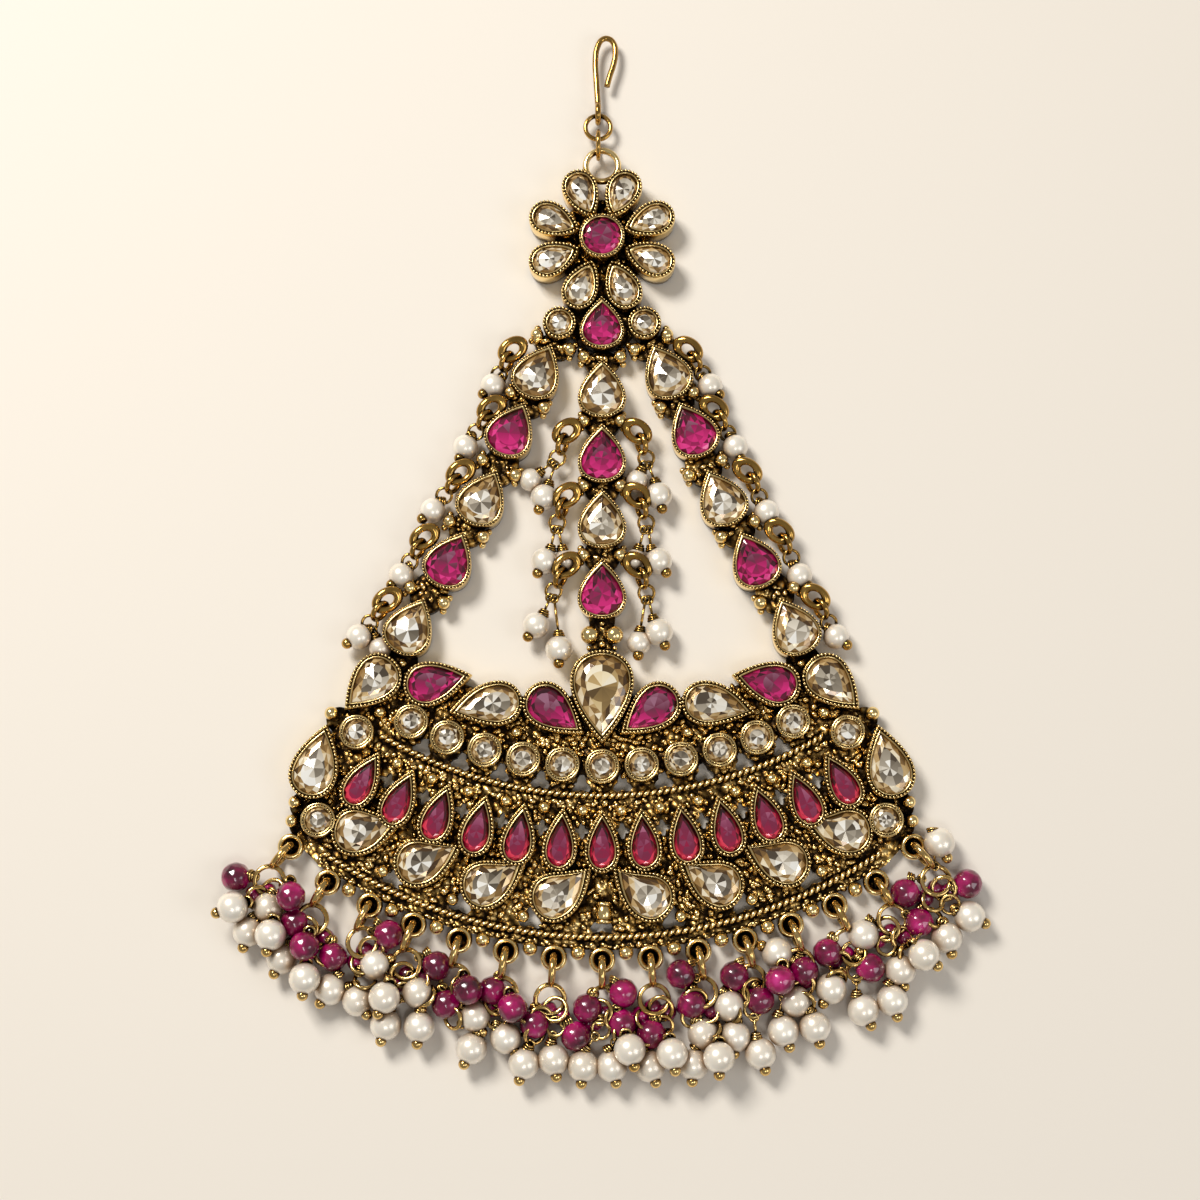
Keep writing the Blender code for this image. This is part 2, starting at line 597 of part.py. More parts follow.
def make_rows():
    # the settings that repeat along the crescent's arcs
    bodies = []
    rounds = round_outline(ROUND_BEZEL)
    for angle in row_angles(ROUND_ROW_COUNT, ROUND_ROW_PITCH):
        x, y = on_row(ROUND_ROW_Y, ROUND_ROW_RADIUS, angle)
        bodies.append(stone_setting(rounds, ROUND_BEZEL, place(x, y, angle)))
    teardrop = drop_outline(TEARDROP_WIDTH, TEARDROP_LENGTH, sides=STONE_SIDES)
    for angle in row_angles(TEARDROP_ROW_COUNT, TEARDROP_ROW_PITCH):
        x, y = on_row(TEARDROP_ROW_Y, TEARDROP_ROW_RADIUS, angle)
        bodies.append(stone_setting(teardrop, TEARDROP_WIDTH, place(x, y, angle)))
    for side in (-1, 1):
        leaf = drop_outline(LOWER_LEAF_WIDTH, LOWER_LEAF_LENGTH, LEAF_BEND * side, STONE_SIDES)
        for index in range(LEAF_ROW_COUNT):
            angle = side * LEAF_ROW_PITCH * (index + LEAF_ROW_START)
            x, y = on_row(LEAF_ROW_Y, LEAF_ROW_RADIUS, angle)
            matrix = place(x, y, angle + side * LEAF_TURN)
            bodies.append(stone_setting(leaf, LOWER_LEAF_WIDTH, matrix, LOWER_LEAF_TOP))
    return bodies


def make_top_settings(bodies):
    # the leaves, drops and corner rounds on each side of the golden crystal
    for side, word in ((-1, "left"), (1, "right")):
        for angle, rise in CORNER_ROUNDS:
            x, y = beside_rounds(side * angle, rise)
            bodies.append(stone_setting(round_outline(ROUND_BEZEL), ROUND_BEZEL, place(x, y)))
        for name, row in TOP_SETTINGS.items():
            width = row["width"] * MM
            outline = drop_outline(width, row["length"] * MM, row["bend"] * side)
            x, y = beside_rounds(side * row["angle"], row["rise"])
            matrix = place(x, y, side * math.radians(row["turn"]))
            if name.startswith("ruby"):
                add_set_stone(f"{word}_{name}", bodies, outline, width, matrix, ruby)
            else:
                bodies.append(stone_setting(outline, width, matrix))


def make_crescent():
    bodies = [plate(web_outline(), 0.0, WEB_THICKNESS)] + make_rows()
    make_top_settings(bodies)
    crystal = drop_outline(CRYSTAL_WIDTH, CRYSTAL_LENGTH)
    add_set_stone("golden_crystal", bodies, crystal, CRYSTAL_WIDTH, place(0, 0, math.pi), clear, CRYSTAL_TOP)
    bodies.append(arc_rope(UPPER_ROPE_Y, UPPER_ROPE_RADIUS, UPPER_ROPE_HALF_ANGLE))
    bodies.append(arc_rope(LOWER_ROPE_Y, LOWER_ROPE_RADIUS, LOWER_ROPE_HALF_ANGLE))
    for x, y, turn in eyelets():
        matrix = place(x, y, turn, EYELET_HEIGHT)
        bodies.append(ring(EYELET_RADIUS, EYELET_WIRE, matrix, EYELET_SIDES, EYELET_WIRE_SIDES))
    casting("crescent", bodies, gold, pierced_gaps())


def pierced_gaps():
    # the openwork of the web, as rows of gaps: lowest y, radius, count, pitch, width, sides
    rows = [
        (ROUND_ROW_Y - ROUND_BEZEL / 2, ROUND_ROW_RADIUS + ROUND_BEZEL / 2,
         ROUND_ROW_COUNT - 1, ROUND_ROW_PITCH, ROUND_GAP_WIDTH, 3),
        (TEARDROP_ROW_Y + TEARDROP_LENGTH / 6, TEARDROP_ROW_RADIUS - TEARDROP_LENGTH / 6,
         TEARDROP_ROW_COUNT - 1, TEARDROP_ROW_PITCH, TEARDROP_GAP_WIDTH, 4),
        (LOWER_ROPE_Y + WEB_BORDER, LOWER_ROPE_RADIUS - WEB_BORDER,
         2 * LEAF_ROW_COUNT - 1, LEAF_ROW_PITCH, LEAF_GAP_WIDTH, 3),
    ]
    gaps = []
    for lowest, radius, count, pitch, width, sides in rows:
        outline = round_outline(width, sides)
        for angle in row_angles(count, pitch):
            x, y = on_row(lowest, radius, angle)
            through = [(-WEB_THICKNESS, 1.0), (2 * WEB_THICKNESS, 1.0)]
            gaps.append(stacked(outline, through, place(x, y, angle + math.pi / sides)))
    return gaps


def eyelets():
    # x, y and turn of each eyelet from left to right: a row along the web's lower edge, and
    # one beyond each end of it, at the corner of the web
    corner_x, corner_y = beside_rounds(*WEB_EDGE[-1])
    end_x = corner_x + END_EYELET_STEP[0]
    end_y = corner_y + END_EYELET_STEP[1]
    row = [
        (*on_row(LOWER_ROPE_Y - EYELET_ROW_DROP, LOWER_ROPE_RADIUS + EYELET_ROW_DROP, angle), angle)
        for angle in row_angles(EYELET_ROW_COUNT, EYELET_ROW_PITCH)
    ]
    return [(-end_x, end_y, -END_EYELET_TURN)] + row + [(end_x, end_y, END_EYELET_TURN)]


def make_fringe():
    # each cluster: a ring that stands through its eyelet, with beads on pins beyond it
    height = RING_RADIUS + RING_WIRE
    reach = math.sqrt(RING_RADIUS ** 2 - (height - EYELET_HEIGHT) ** 2)
    for number, ((x, y, turn), beads) in enumerate(zip(eyelets(), FRINGE), 1):
        outward = Vector((math.sin(turn), -math.cos(turn), 0))
        centre = Vector((x, y, height)) + outward * reach
        root = centre + outward * RING_RADIUS
        bodies = [ring(RING_RADIUS, RING_WIRE, upright(centre, math.atan2(outward.y, outward.x)))]
        for kind, bead_x, bead_y, layer in beads:
            radius = RUBY_BEAD_RADIUS if kind.endswith("ruby") else PEARL_RADIUS
            bead = Vector((x + bead_x * MM, y + bead_y * MM, PEARL_RADIUS + layer * LAYER_HEIGHT))
            bodies.append(bead_drop(bead, root, radius, kind.startswith("headed")))
        casting(f"fringe_{number:02d}", bodies, pearl)


clear_scene()
jhoomar = make_collection("jhoomar")
tools = make_collection("tools")
gold = make_finish("antique_gold")
ruby = make_finish("ruby_glass")
clear = make_finish("clear_glass")
pearl = make_finish("pearl")
make_hook()
make_rings()
make_crown()
make_strand("left_strand", OUTER_STRAND, -1)
make_strand("right_strand", OUTER_STRAND, 1)
make_strand("centre_strand", CENTRE_STRAND)
make_crescent()
make_fringe()
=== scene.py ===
# Looks of the jhoomar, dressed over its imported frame: antique castings, cut stones, pearls and fringe.
# Plans are in millimetres, meshes in metres, in the frame of the castings.
import math
import random

import bmesh
import bpy
from mathutils import Matrix, Vector


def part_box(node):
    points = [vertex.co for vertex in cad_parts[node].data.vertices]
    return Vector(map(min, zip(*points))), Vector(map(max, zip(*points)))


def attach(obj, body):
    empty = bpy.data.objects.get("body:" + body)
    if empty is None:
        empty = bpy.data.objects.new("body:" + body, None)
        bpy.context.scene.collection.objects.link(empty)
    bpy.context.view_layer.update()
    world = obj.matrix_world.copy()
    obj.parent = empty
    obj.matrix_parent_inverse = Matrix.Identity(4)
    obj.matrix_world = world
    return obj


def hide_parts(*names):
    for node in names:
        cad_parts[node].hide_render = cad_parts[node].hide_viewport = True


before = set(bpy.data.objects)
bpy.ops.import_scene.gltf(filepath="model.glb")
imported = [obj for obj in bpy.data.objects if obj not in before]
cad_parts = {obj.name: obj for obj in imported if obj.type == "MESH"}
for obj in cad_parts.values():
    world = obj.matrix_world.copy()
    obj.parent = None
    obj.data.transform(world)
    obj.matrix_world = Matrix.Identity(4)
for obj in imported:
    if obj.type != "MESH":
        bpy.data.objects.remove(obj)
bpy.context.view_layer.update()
mm = 0.001
dice = random.Random(11)


# Shader maths: a socket that takes part in Python expressions
class Value:
    def __init__(self, look, socket):
        self.look = look
        self.socket = socket

    def maths(self, operation, *others):
        inputs = dict(enumerate((self,) + others))
        return self.look.node("Math", {"operation": operation}, inputs)

    def __add__(self, other):
        return self.maths("ADD", other)

    def __sub__(self, other):
        return self.maths("SUBTRACT", other)

    def __rsub__(self, other):
        return self.look.node("Math", {"operation": "SUBTRACT"}, {0: other, 1: self})

    def __mul__(self, other):
        return self.maths("MULTIPLY", other)

    __radd__ = __add__
    __rmul__ = __mul__


class Look:
    def __init__(self, name, **sockets):
        self.material = bpy.data.materials.new(name)
        self.material.use_nodes = True
        self.tree = self.material.node_tree
        self.shader = self.tree.nodes["Principled BSDF"]
        self.surface(**sockets)

    def feed(self, socket, value):
        if isinstance(value, Value):
            self.tree.links.new(value.socket, socket)
        elif isinstance(value, tuple) and socket.type == "RGBA":
            socket.default_value = (*value, 1.0)
        else:
            socket.default_value = value

    def node(self, kind, settings=None, inputs=None, output=0):
        made = self.tree.nodes.new("ShaderNode" + kind)
        for key, value in (settings or {}).items():
            if key == "stops":
                while len(made.color_ramp.elements) < len(value):
                    made.color_ramp.elements.new(0.5)
                for element, (position, colour) in zip(made.color_ramp.elements, value):
                    element.position = position
                    element.color = (*colour, 1.0)
            else:
                setattr(made, key, value)
        for key, value in (inputs or {}).items():
            self.feed(made.inputs[key], value)
        return Value(self, made.outputs[output])

    def surface(self, **values):
        for key, value in values.items():
            self.feed(self.shader.inputs[key.replace("_", " ")], value)

    def mix(self, factor, first, second):
        return self.node("Mix", {"data_type": "RGBA"}, {0: factor, 6: first, 7: second}, 2)

    def place(self):
        return self.node("TexCoord", output="Object")

    def noise(self, scale, detail):
        return self.node("TexNoise", {}, {"Vector": self.place(), "Scale": scale, "Detail": detail})

    def ramp(self, level, stops):
        return self.node("ValToRGB", {"stops": stops}, {0: level})

    def openness(self, distance):
        # 1 in the open, 0 deep in a crevice
        return self.node("AmbientOcclusion", {"samples": 4}, {"Distance": distance * mm}, "AO")

    def bump(self, height):
        return self.node("Bump", {}, {"Strength": 1.0, "Distance": 1.0, "Height": height})

    def face(self, name):
        return self.node("Attribute", {"attribute_name": name}, output="Fac")


# Gold: colours from crevice to crest, then scales per metre and heights in millimetres
goldTones = {
    "stops": [
        (0.22, (0.010, 0.006, 0.003)), (0.44, (0.15, 0.075, 0.018)),
        (0.70, (0.64, 0.38, 0.098)), (0.98, (1.0, 0.77, 0.36)),
    ],
    "grain": 1100.0, "patches": 330.0, "nuggets": 950.0, "contrast": 1.5, "mottle": 0.42, "cellMiddle": 0.38,
    "grainHeight": 0.014, "patchHeight": 0.05, "nuggetHeight": 0.30, "dull": 0.30, "uneven": 0.12,
}


def makeGold(name, crevice, rough, dirt=0.0, nuggets=0.0):
    # bright on what stands up, near black where the crevices hold old oxide
    tones = goldTones
    look = Look(name, Metallic=1.0)
    openness = look.openness(crevice)
    patches = look.noise(tones["patches"], 4.0)
    grain = look.noise(tones["grain"], 2.0)
    cells = look.node("TexVoronoi", {"feature": "F1"}, {"Vector": look.place(), "Scale": tones["nuggets"]})
    level = openness.maths("POWER", tones["contrast"]) + (patches - 0.5) * tones["mottle"] - dirt
    level = level + (tones["cellMiddle"] - cells) * nuggets
    height = grain * (tones["grainHeight"] * mm) + patches * (tones["patchHeight"] * mm)
    height = height - cells * (nuggets * tones["nuggetHeight"] * mm)
    worn = (1.0 - openness) * tones["dull"] + rough + (grain - 0.5) * tones["uneven"]
    look.surface(Base_Color=look.ramp(level, tones["stops"]), Roughness=worn, Normal=look.bump(height))
    return look.material


def makeStone(name, tones, sectors, metal, relief):
    # foil-backed cut stone: wedge facets seen through the table, small ones round it; their colours are the
    # glass's own tint with painted reflection
    table, crown = tones["table"], tones["crown"]
    look = Look(name, Metallic=metal, Coat_Weight=1.0, Coat_Roughness=0.04, Roughness=0.10)
    uv = look.node("UVMap", {"uv_map": "gem"})
    place = look.node("SeparateXYZ", {}, {0: uv})
    along = Value(look, place.socket.node.outputs["Y"])
    radius = (place * place + along * along).maths("SQRT")
    stone = look.face("stone")
    facet = look.face("facet")
    lie = look.face("lie")
    onTable = look.face("table")
    turned = along.maths("ARCTAN2", place) * (sectors / math.tau) + stone * sectors
    sector = turned.maths("FLOOR")
    offset = (turned - sector - 0.5) * (math.tau / sectors)
    ring = (radius * 1.7 + stone * 0.5).maths("FLOOR")
    key = look.node("CombineXYZ", {}, {0: sector, 1: ring, 2: stone * 91.0})
    chance = look.node("TexWhiteNoise", {"noise_dimensions": "3D"}, {"Vector": key}, "Value")
    # painted reflection: each facet's random brightness and the shift with its height up the stone, on table
    # and crown
    tableLevel = (chance - 0.5) * table["spread"] + lie * table["lie"] + 0.5
    crownLevel = (facet - 0.5) * crown["spread"] + lie * crown["lie"] + 0.45
    colour = look.mix(onTable, look.ramp(crownLevel, crown["stops"]), look.ramp(tableLevel, table["stops"]))
    pyramid = radius * offset.maths("COSINE") * look.face("girth") * (-relief * mm)
    look.surface(Base_Color=colour, Normal=look.bump(pyramid * onTable))
    return look.material


def makePearl(name):
    # cream nacre, with painted shade: darker and warmer where it is sheltered
    look = Look(name, Coat_Weight=0.9, Coat_Roughness=0.28, Metallic=0.35)
    cloud = look.noise(260.0, 2.0)
    # painted shade: ambient occlusion marks the sheltered parts of each pearl
    paintedShade = 1.0 - look.openness(2.2)
    body = look.ramp(cloud, [(0.25, (0.85, 0.76, 0.63)), (0.75, (0.96, 0.90, 0.80))])
    # the dark brown mixed into the sheltered parts is painted shade, not the nacre's colour
    look.surface(Base_Color=look.mix(paintedShade * 1.3, body, (0.38, 0.24, 0.12)), Roughness=0.24 + cloud * 0.10)
    look.surface(Subsurface_Weight=0.12, Subsurface_Scale=0.4 * mm, Subsurface_Radius=(1.0, 0.8, 0.6))
    return look.material


def makeRubyBead(name):
    # cloudy dyed agate with paler veins and a glassy skin
    look = Look(name, Coat_Weight=1.0, Coat_Roughness=0.05, Roughness=0.20)
    cloud = look.noise(480.0, 5.0)
    stops = [
        (0.28, (0.032, 0.0002, 0.007)), (0.48, (0.15, 0.0006, 0.036)),
        (0.66, (0.37, 0.001, 0.105)), (0.85, (0.62, 0.05, 0.28)),
    ]
    look.surface(Base_Color=look.ramp(cloud, stops))
    look.surface(Subsurface_Weight=0.15, Subsurface_Scale=0.5 * mm, Subsurface_Radius=(1.0, 0.1, 0.3))
    return look.material


# Stones: how far their facets differ, how these change up the stone, and the colours they take; the pale
# stops are painted reflections, near white on the clear and golden stones and greyish mauve at the top of the
# ruby tables
champagne = {
    "table": {"spread": 1.0, "lie": -0.22, "stops": [
        (0.05, (0.075, 0.055, 0.035)), (0.30, (0.25, 0.21, 0.155)), (0.55, (0.48, 0.42, 0.33)),
        (0.78, (0.86, 0.79, 0.67)), (0.95, (1.0, 0.98, 0.92)),
    ]},
    "crown": {"spread": 1.1, "lie": -0.15, "stops": [
        (0.05, (0.075, 0.035, 0.008)), (0.40, (0.34, 0.19, 0.055)), (0.70, (0.66, 0.46, 0.21)),
        (0.95, (1.0, 0.90, 0.68)),
    ]},
}
golden = {
    "table": {"spread": 1.0, "lie": -0.15, "stops": [
        (0.05, (0.12, 0.070, 0.022)), (0.30, (0.42, 0.27, 0.095)), (0.55, (0.70, 0.52, 0.25)),
        (0.78, (0.95, 0.82, 0.56)), (0.95, (1.0, 0.96, 0.84)),
    ]},
    "crown": champagne["crown"],
}
magenta = {
    "table": {"spread": 0.60, "lie": 0.42, "stops": [
        (0.05, (0.58, 0.014, 0.17)), (0.35, (0.30, 0.003, 0.080)), (0.58, (0.14, 0.018, 0.050)),
        (0.95, (0.29, 0.12, 0.19)),
    ]},
    "crown": {"spread": 0.95, "lie": -0.28, "stops": [
        (0.05, (0.030, 0.0, 0.006)), (0.40, (0.15, 0.001, 0.030)), (0.70, (0.40, 0.003, 0.095)),
        (0.95, (0.72, 0.035, 0.24)),
    ]},
}
crimson = {
    "table": {"spread": 0.60, "lie": 0.20, "stops": [
        (0.05, (0.28, 0.003, 0.045)), (0.35, (0.18, 0.012, 0.050)), (0.65, (0.24, 0.040, 0.100)),
        (0.95, (0.42, 0.14, 0.23)),
    ]},
    "crown": {"spread": 0.70, "lie": -0.30, "stops": [
        (0.05, (0.015, 0.0, 0.002)), (0.45, (0.09, 0.001, 0.008)), (0.75, (0.30, 0.002, 0.028)),
        (0.95, (0.68, 0.035, 0.080)),
    ]},
}
gold = makeGold("antiqueGold", 1.0, 0.18)
patina = makeGold("blackenedGold", 1.7, 0.22, dirt=0.13, nuggets=1.35)
wireGold = makeGold("wireGold", 0.6, 0.15, dirt=0.20)
agedGold = makeGold("agedGold", 0.6, 0.15, dirt=0.36)
stoneLooks = {
    "clear": makeStone("champagneStone", champagne, 9, 0.30, 0.20),
    "golden": makeStone("goldenStone", golden, 10, 0.30, 0.18),
    "ruby": makeStone("rubyStone", magenta, 8, 0.12, 0.03),
    "deep": makeStone("deepRubyStone", crimson, 8, 0.12, 0.05),
}
pearlLook = makePearl("pearlLustre")
rubyBeadLook = makeRubyBead("rubyAgate")
print("materials made")


# Meshes: small shapes from bmesh operators, gathered into pieces
def asMesh(shape, smooth=True):
    for face in shape.faces:
        face.smooth = smooth
    mesh = bpy.data.meshes.new("shape")
    shape.to_mesh(mesh)
    shape.free()
    return mesh


def linked(name, data):
    made = bpy.data.objects.new(name, data)
    bpy.context.scene.collection.objects.link(made)
    return made


class Piece:
    def __init__(self, name, materials, slot, *nodes):
        self.name = name
        self.materials = materials
        self.slot = slot
        self.nodes = nodes
        self.shape = bmesh.new()

    def add(self, mesh, matrix=Matrix.Identity(4), material=0):
        # adds a copy of a small mesh at a place
        mesh.polygons.foreach_set("material_index", [material] * len(mesh.polygons))
        mesh.transform(matrix)
        self.shape.from_mesh(mesh)
        mesh.transform(matrix.inverted())

    def finish(self):
        mesh = bpy.data.meshes.new(self.name)
        self.shape.to_mesh(mesh)
        self.shape.free()
        for material in self.materials:
            mesh.materials.append(material)
        made = linked(self.name, mesh)
        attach(made, "root")
        if self.nodes:
            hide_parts(*self.nodes)


upright = Matrix.Rotation(math.pi / 2, 4, "X")


def at(x, y, z=0.0, turn=0.0):
    # a place from millimetres
    return Matrix.Translation((x * mm, y * mm, z * mm)) @ Matrix.Rotation(turn, 4, "Z")


def pointing(angle, dip=0.0):
    return Vector((math.cos(angle), math.sin(angle), dip))


def outlinePoint(plan, turn, inset):
    # a round or a drop with its point at +Y, drawn in by an inset on all sides
    width = plan["width"] - 2.0 * inset
    if "length" not in plan:
        return Vector((math.sin(turn) * width / 2, math.cos(turn) * width / 2))
    length = plan["length"] - 2.9 * inset
    soft = plan.get("soft", 0.0)
    across = math.sin(turn) * (abs(math.sin(turn / 2)) / 0.77 * (1.0 - soft) + 0.95 * soft) * width / 2
    along = math.cos(turn)
    lean = plan.get("bend", 0.0) * plan["width"] * max(along, 0.0) ** 2
    return Vector((across + lean, along * length / 2 - 0.45 * inset))


def swept(plan, steps, segments, twist=0.0):
    # a closed body whose loops follow the outline, as steps of inset and height
    shape = bmesh.new()
    turns = shape.verts.layers.float.new("turn")
    circle = bmesh.ops.create_circle(shape, cap_ends=True, segments=segments, radius=1.0)
    for vert in circle["verts"]:
        vert[turns] = math.atan2(vert.co.x, vert.co.y)
    base = next(iter(shape.faces))
    drawLoop(base, plan, turns, steps[0], 0.0)
    made = bmesh.ops.extrude_face_region(shape, geom=[base])["geom"]
    top = next(item for item in made if isinstance(item, bmesh.types.BMFace))
    for number, step in enumerate(steps[1:]):
        if number > 0:
            top = bmesh.ops.extrude_discrete_faces(shape, faces=[top])["faces"][0]
        drawLoop(top, plan, turns, step, twist if number % 2 else 0.0)
    bmesh.ops.recalc_face_normals(shape, faces=shape.faces)
    return shape, top


def drawLoop(face, plan, turns, step, twist):
    inset, height = step
    for vert in face.verts:
        point = outlinePoint(plan, vert[turns] + twist, inset)
        vert.co = (point.x * mm, point.y * mm, height * mm)


def discMesh(width, steps, sides):
    return asMesh(swept({"width": width}, steps, sides)[0])


def beadMesh(radius, rounds=1, stretch=(1.0, 1.0, 1.0)):
    shape = bmesh.new()
    bmesh.ops.create_icosphere(shape, subdivisions=rounds, radius=radius * mm)
    bmesh.ops.scale(shape, vec=stretch, verts=shape.verts)
    return asMesh(shape)


def ballMesh(radius, across=20, up=12):
    shape = bmesh.new()
    bmesh.ops.create_uvsphere(shape, u_segments=across, v_segments=up, radius=radius * mm)
    return asMesh(shape)


def ringMesh(radius, wire, sides=28, around=10, stretch=1.0):
    shape = bmesh.new()
    bmesh.ops.create_circle(shape, segments=around, radius=wire * mm, matrix=at(radius, 0) @ upright)
    bmesh.ops.spin(
        shape, geom=shape.verts[:] + shape.edges[:], cent=(0, 0, 0), axis=(0, 0, 1),
        angle=math.tau, steps=sides, use_merge=True,
    )
    bmesh.ops.remove_doubles(shape, verts=shape.verts, dist=0.0005 * mm)
    bmesh.ops.scale(shape, vec=(1.0, 1.0, stretch), verts=shape.verts)
    bmesh.ops.recalc_face_normals(shape, faces=shape.faces)
    return asMesh(shape)


def rodMesh(start, end, radius):
    # a straight wire; start and end in metres
    axis = end - start
    shape = bmesh.new()
    middle = Matrix.Translation((start + end) / 2) @ axis.to_track_quat("Z", "Y").to_matrix().to_4x4()
    bmesh.ops.create_cone(
        shape, cap_ends=True, segments=8, radius1=radius * mm, radius2=radius * mm,
        depth=axis.length, matrix=middle,
    )
    return asMesh(shape)


def spacedTurns(plan, inset, spacing):
    # turns of points spaced evenly along an outline
    fine = 720
    points = [outlinePoint(plan, math.tau * index / fine, inset) for index in range(fine + 1)]
    lengths = [0.0]
    for first, second in zip(points, points[1:]):
        lengths.append(lengths[-1] + (second - first).length)
    count = max(8, round(lengths[-1] / spacing))
    turns = []
    index = 0
    for number in range(count):
        wanted = lengths[-1] * number / count
        while lengths[index + 1] < wanted:
            index += 1
        share = (wanted - lengths[index]) / (lengths[index + 1] - lengths[index])
        turns.append(math.tau * (index + share) / fine)
    return turns


# Rims of the settings: where the inner rim stands, its crest, and the beads along the outer ledge
beadedLedge = [(0.0, -0.50), (0.05, -0.26), (0.10, -0.20)]
smoothLedge = [(0.0, -0.38), (0.04, -0.14), (0.13, -0.02), (0.24, -0.02), (0.32, -0.14)]
edgings = {
    "milgrain": {
        "rim": 0.42, "crest": 0.0, "ledge": beadedLedge,
        "spacing": 0.47, "inset": 0.19, "sink": 0.05, "bead": beadMesh(0.215),
    },
    "knurl": {
        "rim": 0.26, "crest": 0.0, "ledge": beadedLedge,
        "spacing": 0.40, "inset": 0.13, "sink": 0.12, "bead": beadMesh(0.17, 1, (1.0, 1.0, 1.25)),
    },
    "band": {
        "rim": 0.38, "crest": -0.10, "ledge": smoothLedge,
        "spacing": 0.34, "inset": 0.37, "sink": 0.16, "bead": beadMesh(0.12),
    },
}


def addSetting(casting, plan, matrix, edging):
    # bezel: wall, beaded ledge, raised inner rim, and the drop to the stone
    top = plan["top"]
    sides = 56 if "length" in plan else 40
    edge = edgings[edging]
    rim = edge["rim"]
    crest = top + edge["crest"]
    steps = [(0.12, plan.get("floor", 0.3)), (0.02, top * 0.45)]
    steps += [(inset, top + rise) for inset, rise in edge["ledge"]]
    steps += [
        (rim - 0.02, top - 0.26), (rim, crest - 0.06), (rim + 0.05, crest + 0.05),
        (rim + 0.15, crest + 0.04), (rim + 0.24, top - 0.14), (rim + 0.30, top - 0.75),
    ]
    casting.add(asMesh(swept(plan, steps, sides)[0]), matrix)
    for turn in spacedTurns(plan, edge["inset"], edge["spacing"]):
        point = outlinePoint(plan, turn, edge["inset"])
        casting.add(edge["bead"], matrix @ at(point.x, point.y, top - edge["sink"]))


# Slot of each kind, with the heights of its two crown rows as shares of its rise; then what all share
stoneKinds = {
    "clear": ("clear_glass", (0.75, 1.2)), "golden": ("clear_glass", (0.75, 1.2)),
    "ruby": ("ruby_glass", (0.86, 1.0)), "deep": ("ruby_glass", (0.86, 1.0)),
}
stoneCut = {"seat": 0.22, "pavilion": -0.70, "girdle": -0.30, "rows": (0.20, 0.38), "centre": -0.10}


def stonePiece(name, kind, *nodes):
    slot, cut = stoneKinds[kind]
    piece = Piece(name, [stoneLooks[kind]], slot, *nodes)
    piece.cut = cut
    return piece


def addStone(stones, plan, matrix, edging, sides, rise):
    # cut stone: girdle under the rim, two rows of crown facets, and a flat table
    top = plan["top"]
    girdle = edgings[edging]["rim"] + stoneCut["seat"]
    half = plan["width"] / 2 - girdle
    waist = top + stoneCut["girdle"]
    steps = [(girdle, top + stoneCut["pavilion"]), (girdle, waist)]
    for inward, share in zip(stoneCut["rows"], stones.cut):
        steps.append((girdle + half * inward, waist + rise * share))
    shape, table = swept(plan, steps, sides, math.pi / sides)
    tableSpot = table.calc_center_median()
    crown = [face for face in shape.faces if face is not table]
    bmesh.ops.triangulate(shape, faces=crown)
    gem = shape.loops.layers.uv.new("gem")
    # the random facet value and the height up the stone, lie, set the painted reflection in the stone looks
    layers = {name: shape.faces.layers.float.new(name) for name in ("facet", "table", "stone", "girth")}
    lie = shape.verts.layers.float.new("lie")
    long = plan.get("length", plan["width"])
    centreY = stoneCut["centre"] * long if "length" in plan else 0.0
    number = dice.random()
    for face in shape.faces:
        isTable = (face.calc_center_median() - tableSpot).length < 1e-7
        face[layers["facet"]] = dice.random()
        face[layers["table"]] = 1.0 if isTable else 0.0
        face[layers["stone"]] = number
        face[layers["girth"]] = half
        for loop in face.loops:
            loop[gem].uv = (loop.vert.co.x / mm / half, (loop.vert.co.y / mm - centreY) / half)
    turned = matrix.to_3x3()
    for vert in shape.verts:
        vert[lie] = (turned @ vert.co).y / mm / half
    stones.add(asMesh(shape, smooth=False), matrix)


def addStud(casting, stones, plan, matrix, edging="milgrain", sides=14, rise=0.35):
    addSetting(casting, plan, matrix, edging)
    addStone(stones, plan, matrix, edging, sides, rise)


smallGranuleMesh = ballMesh(0.45, 12, 8)
speckMeshes = [beadMesh(size, 1, (1.25, 0.8, 0.7)) for size in (0.26, 0.36, 0.46, 0.58)]


def addGranule(casting, x, y, top, radius, across=16, up=10):
    # a solder ball on a short post
    casting.add(ballMesh(radius, across, up), at(x, y, top - radius))
    casting.add(discMesh(radius * 1.5, [(0.0, 0.3), (0.0, top - radius)], 12), at(x, y))


def addSpecks(casting, count, spot, height):
    # nuggets of cast relief, scattered where spot() finds room
    for _ in range(count):
        place = spot()
        if place:
            turn = dice.uniform(0, math.tau)
            casting.add(dice.choice(speckMeshes), at(*place, height, turn))


def plateMesh(points, bottom, top, holes=()):
    # a flat plate through an outline, pierced by the holes
    shape = bmesh.new()
    for loop in [points] + list(holes):
        corners = [shape.verts.new((x * mm, y * mm, bottom * mm)) for x, y in loop]
        for first, second in zip(corners, corners[1:] + corners[:1]):
            shape.edges.new((first, second))
    bmesh.ops.triangle_fill(shape, edges=shape.edges[:], use_beauty=True)
    made = bmesh.ops.extrude_face_region(shape, geom=shape.faces[:])["geom"]
    raised = [item for item in made if isinstance(item, bmesh.types.BMVert)]
    bmesh.ops.translate(shape, verts=raised, vec=(0, 0, (top - bottom) * mm))
    bmesh.ops.recalc_face_normals(shape, faces=shape.faces)
    return asMesh(shape, smooth=False)


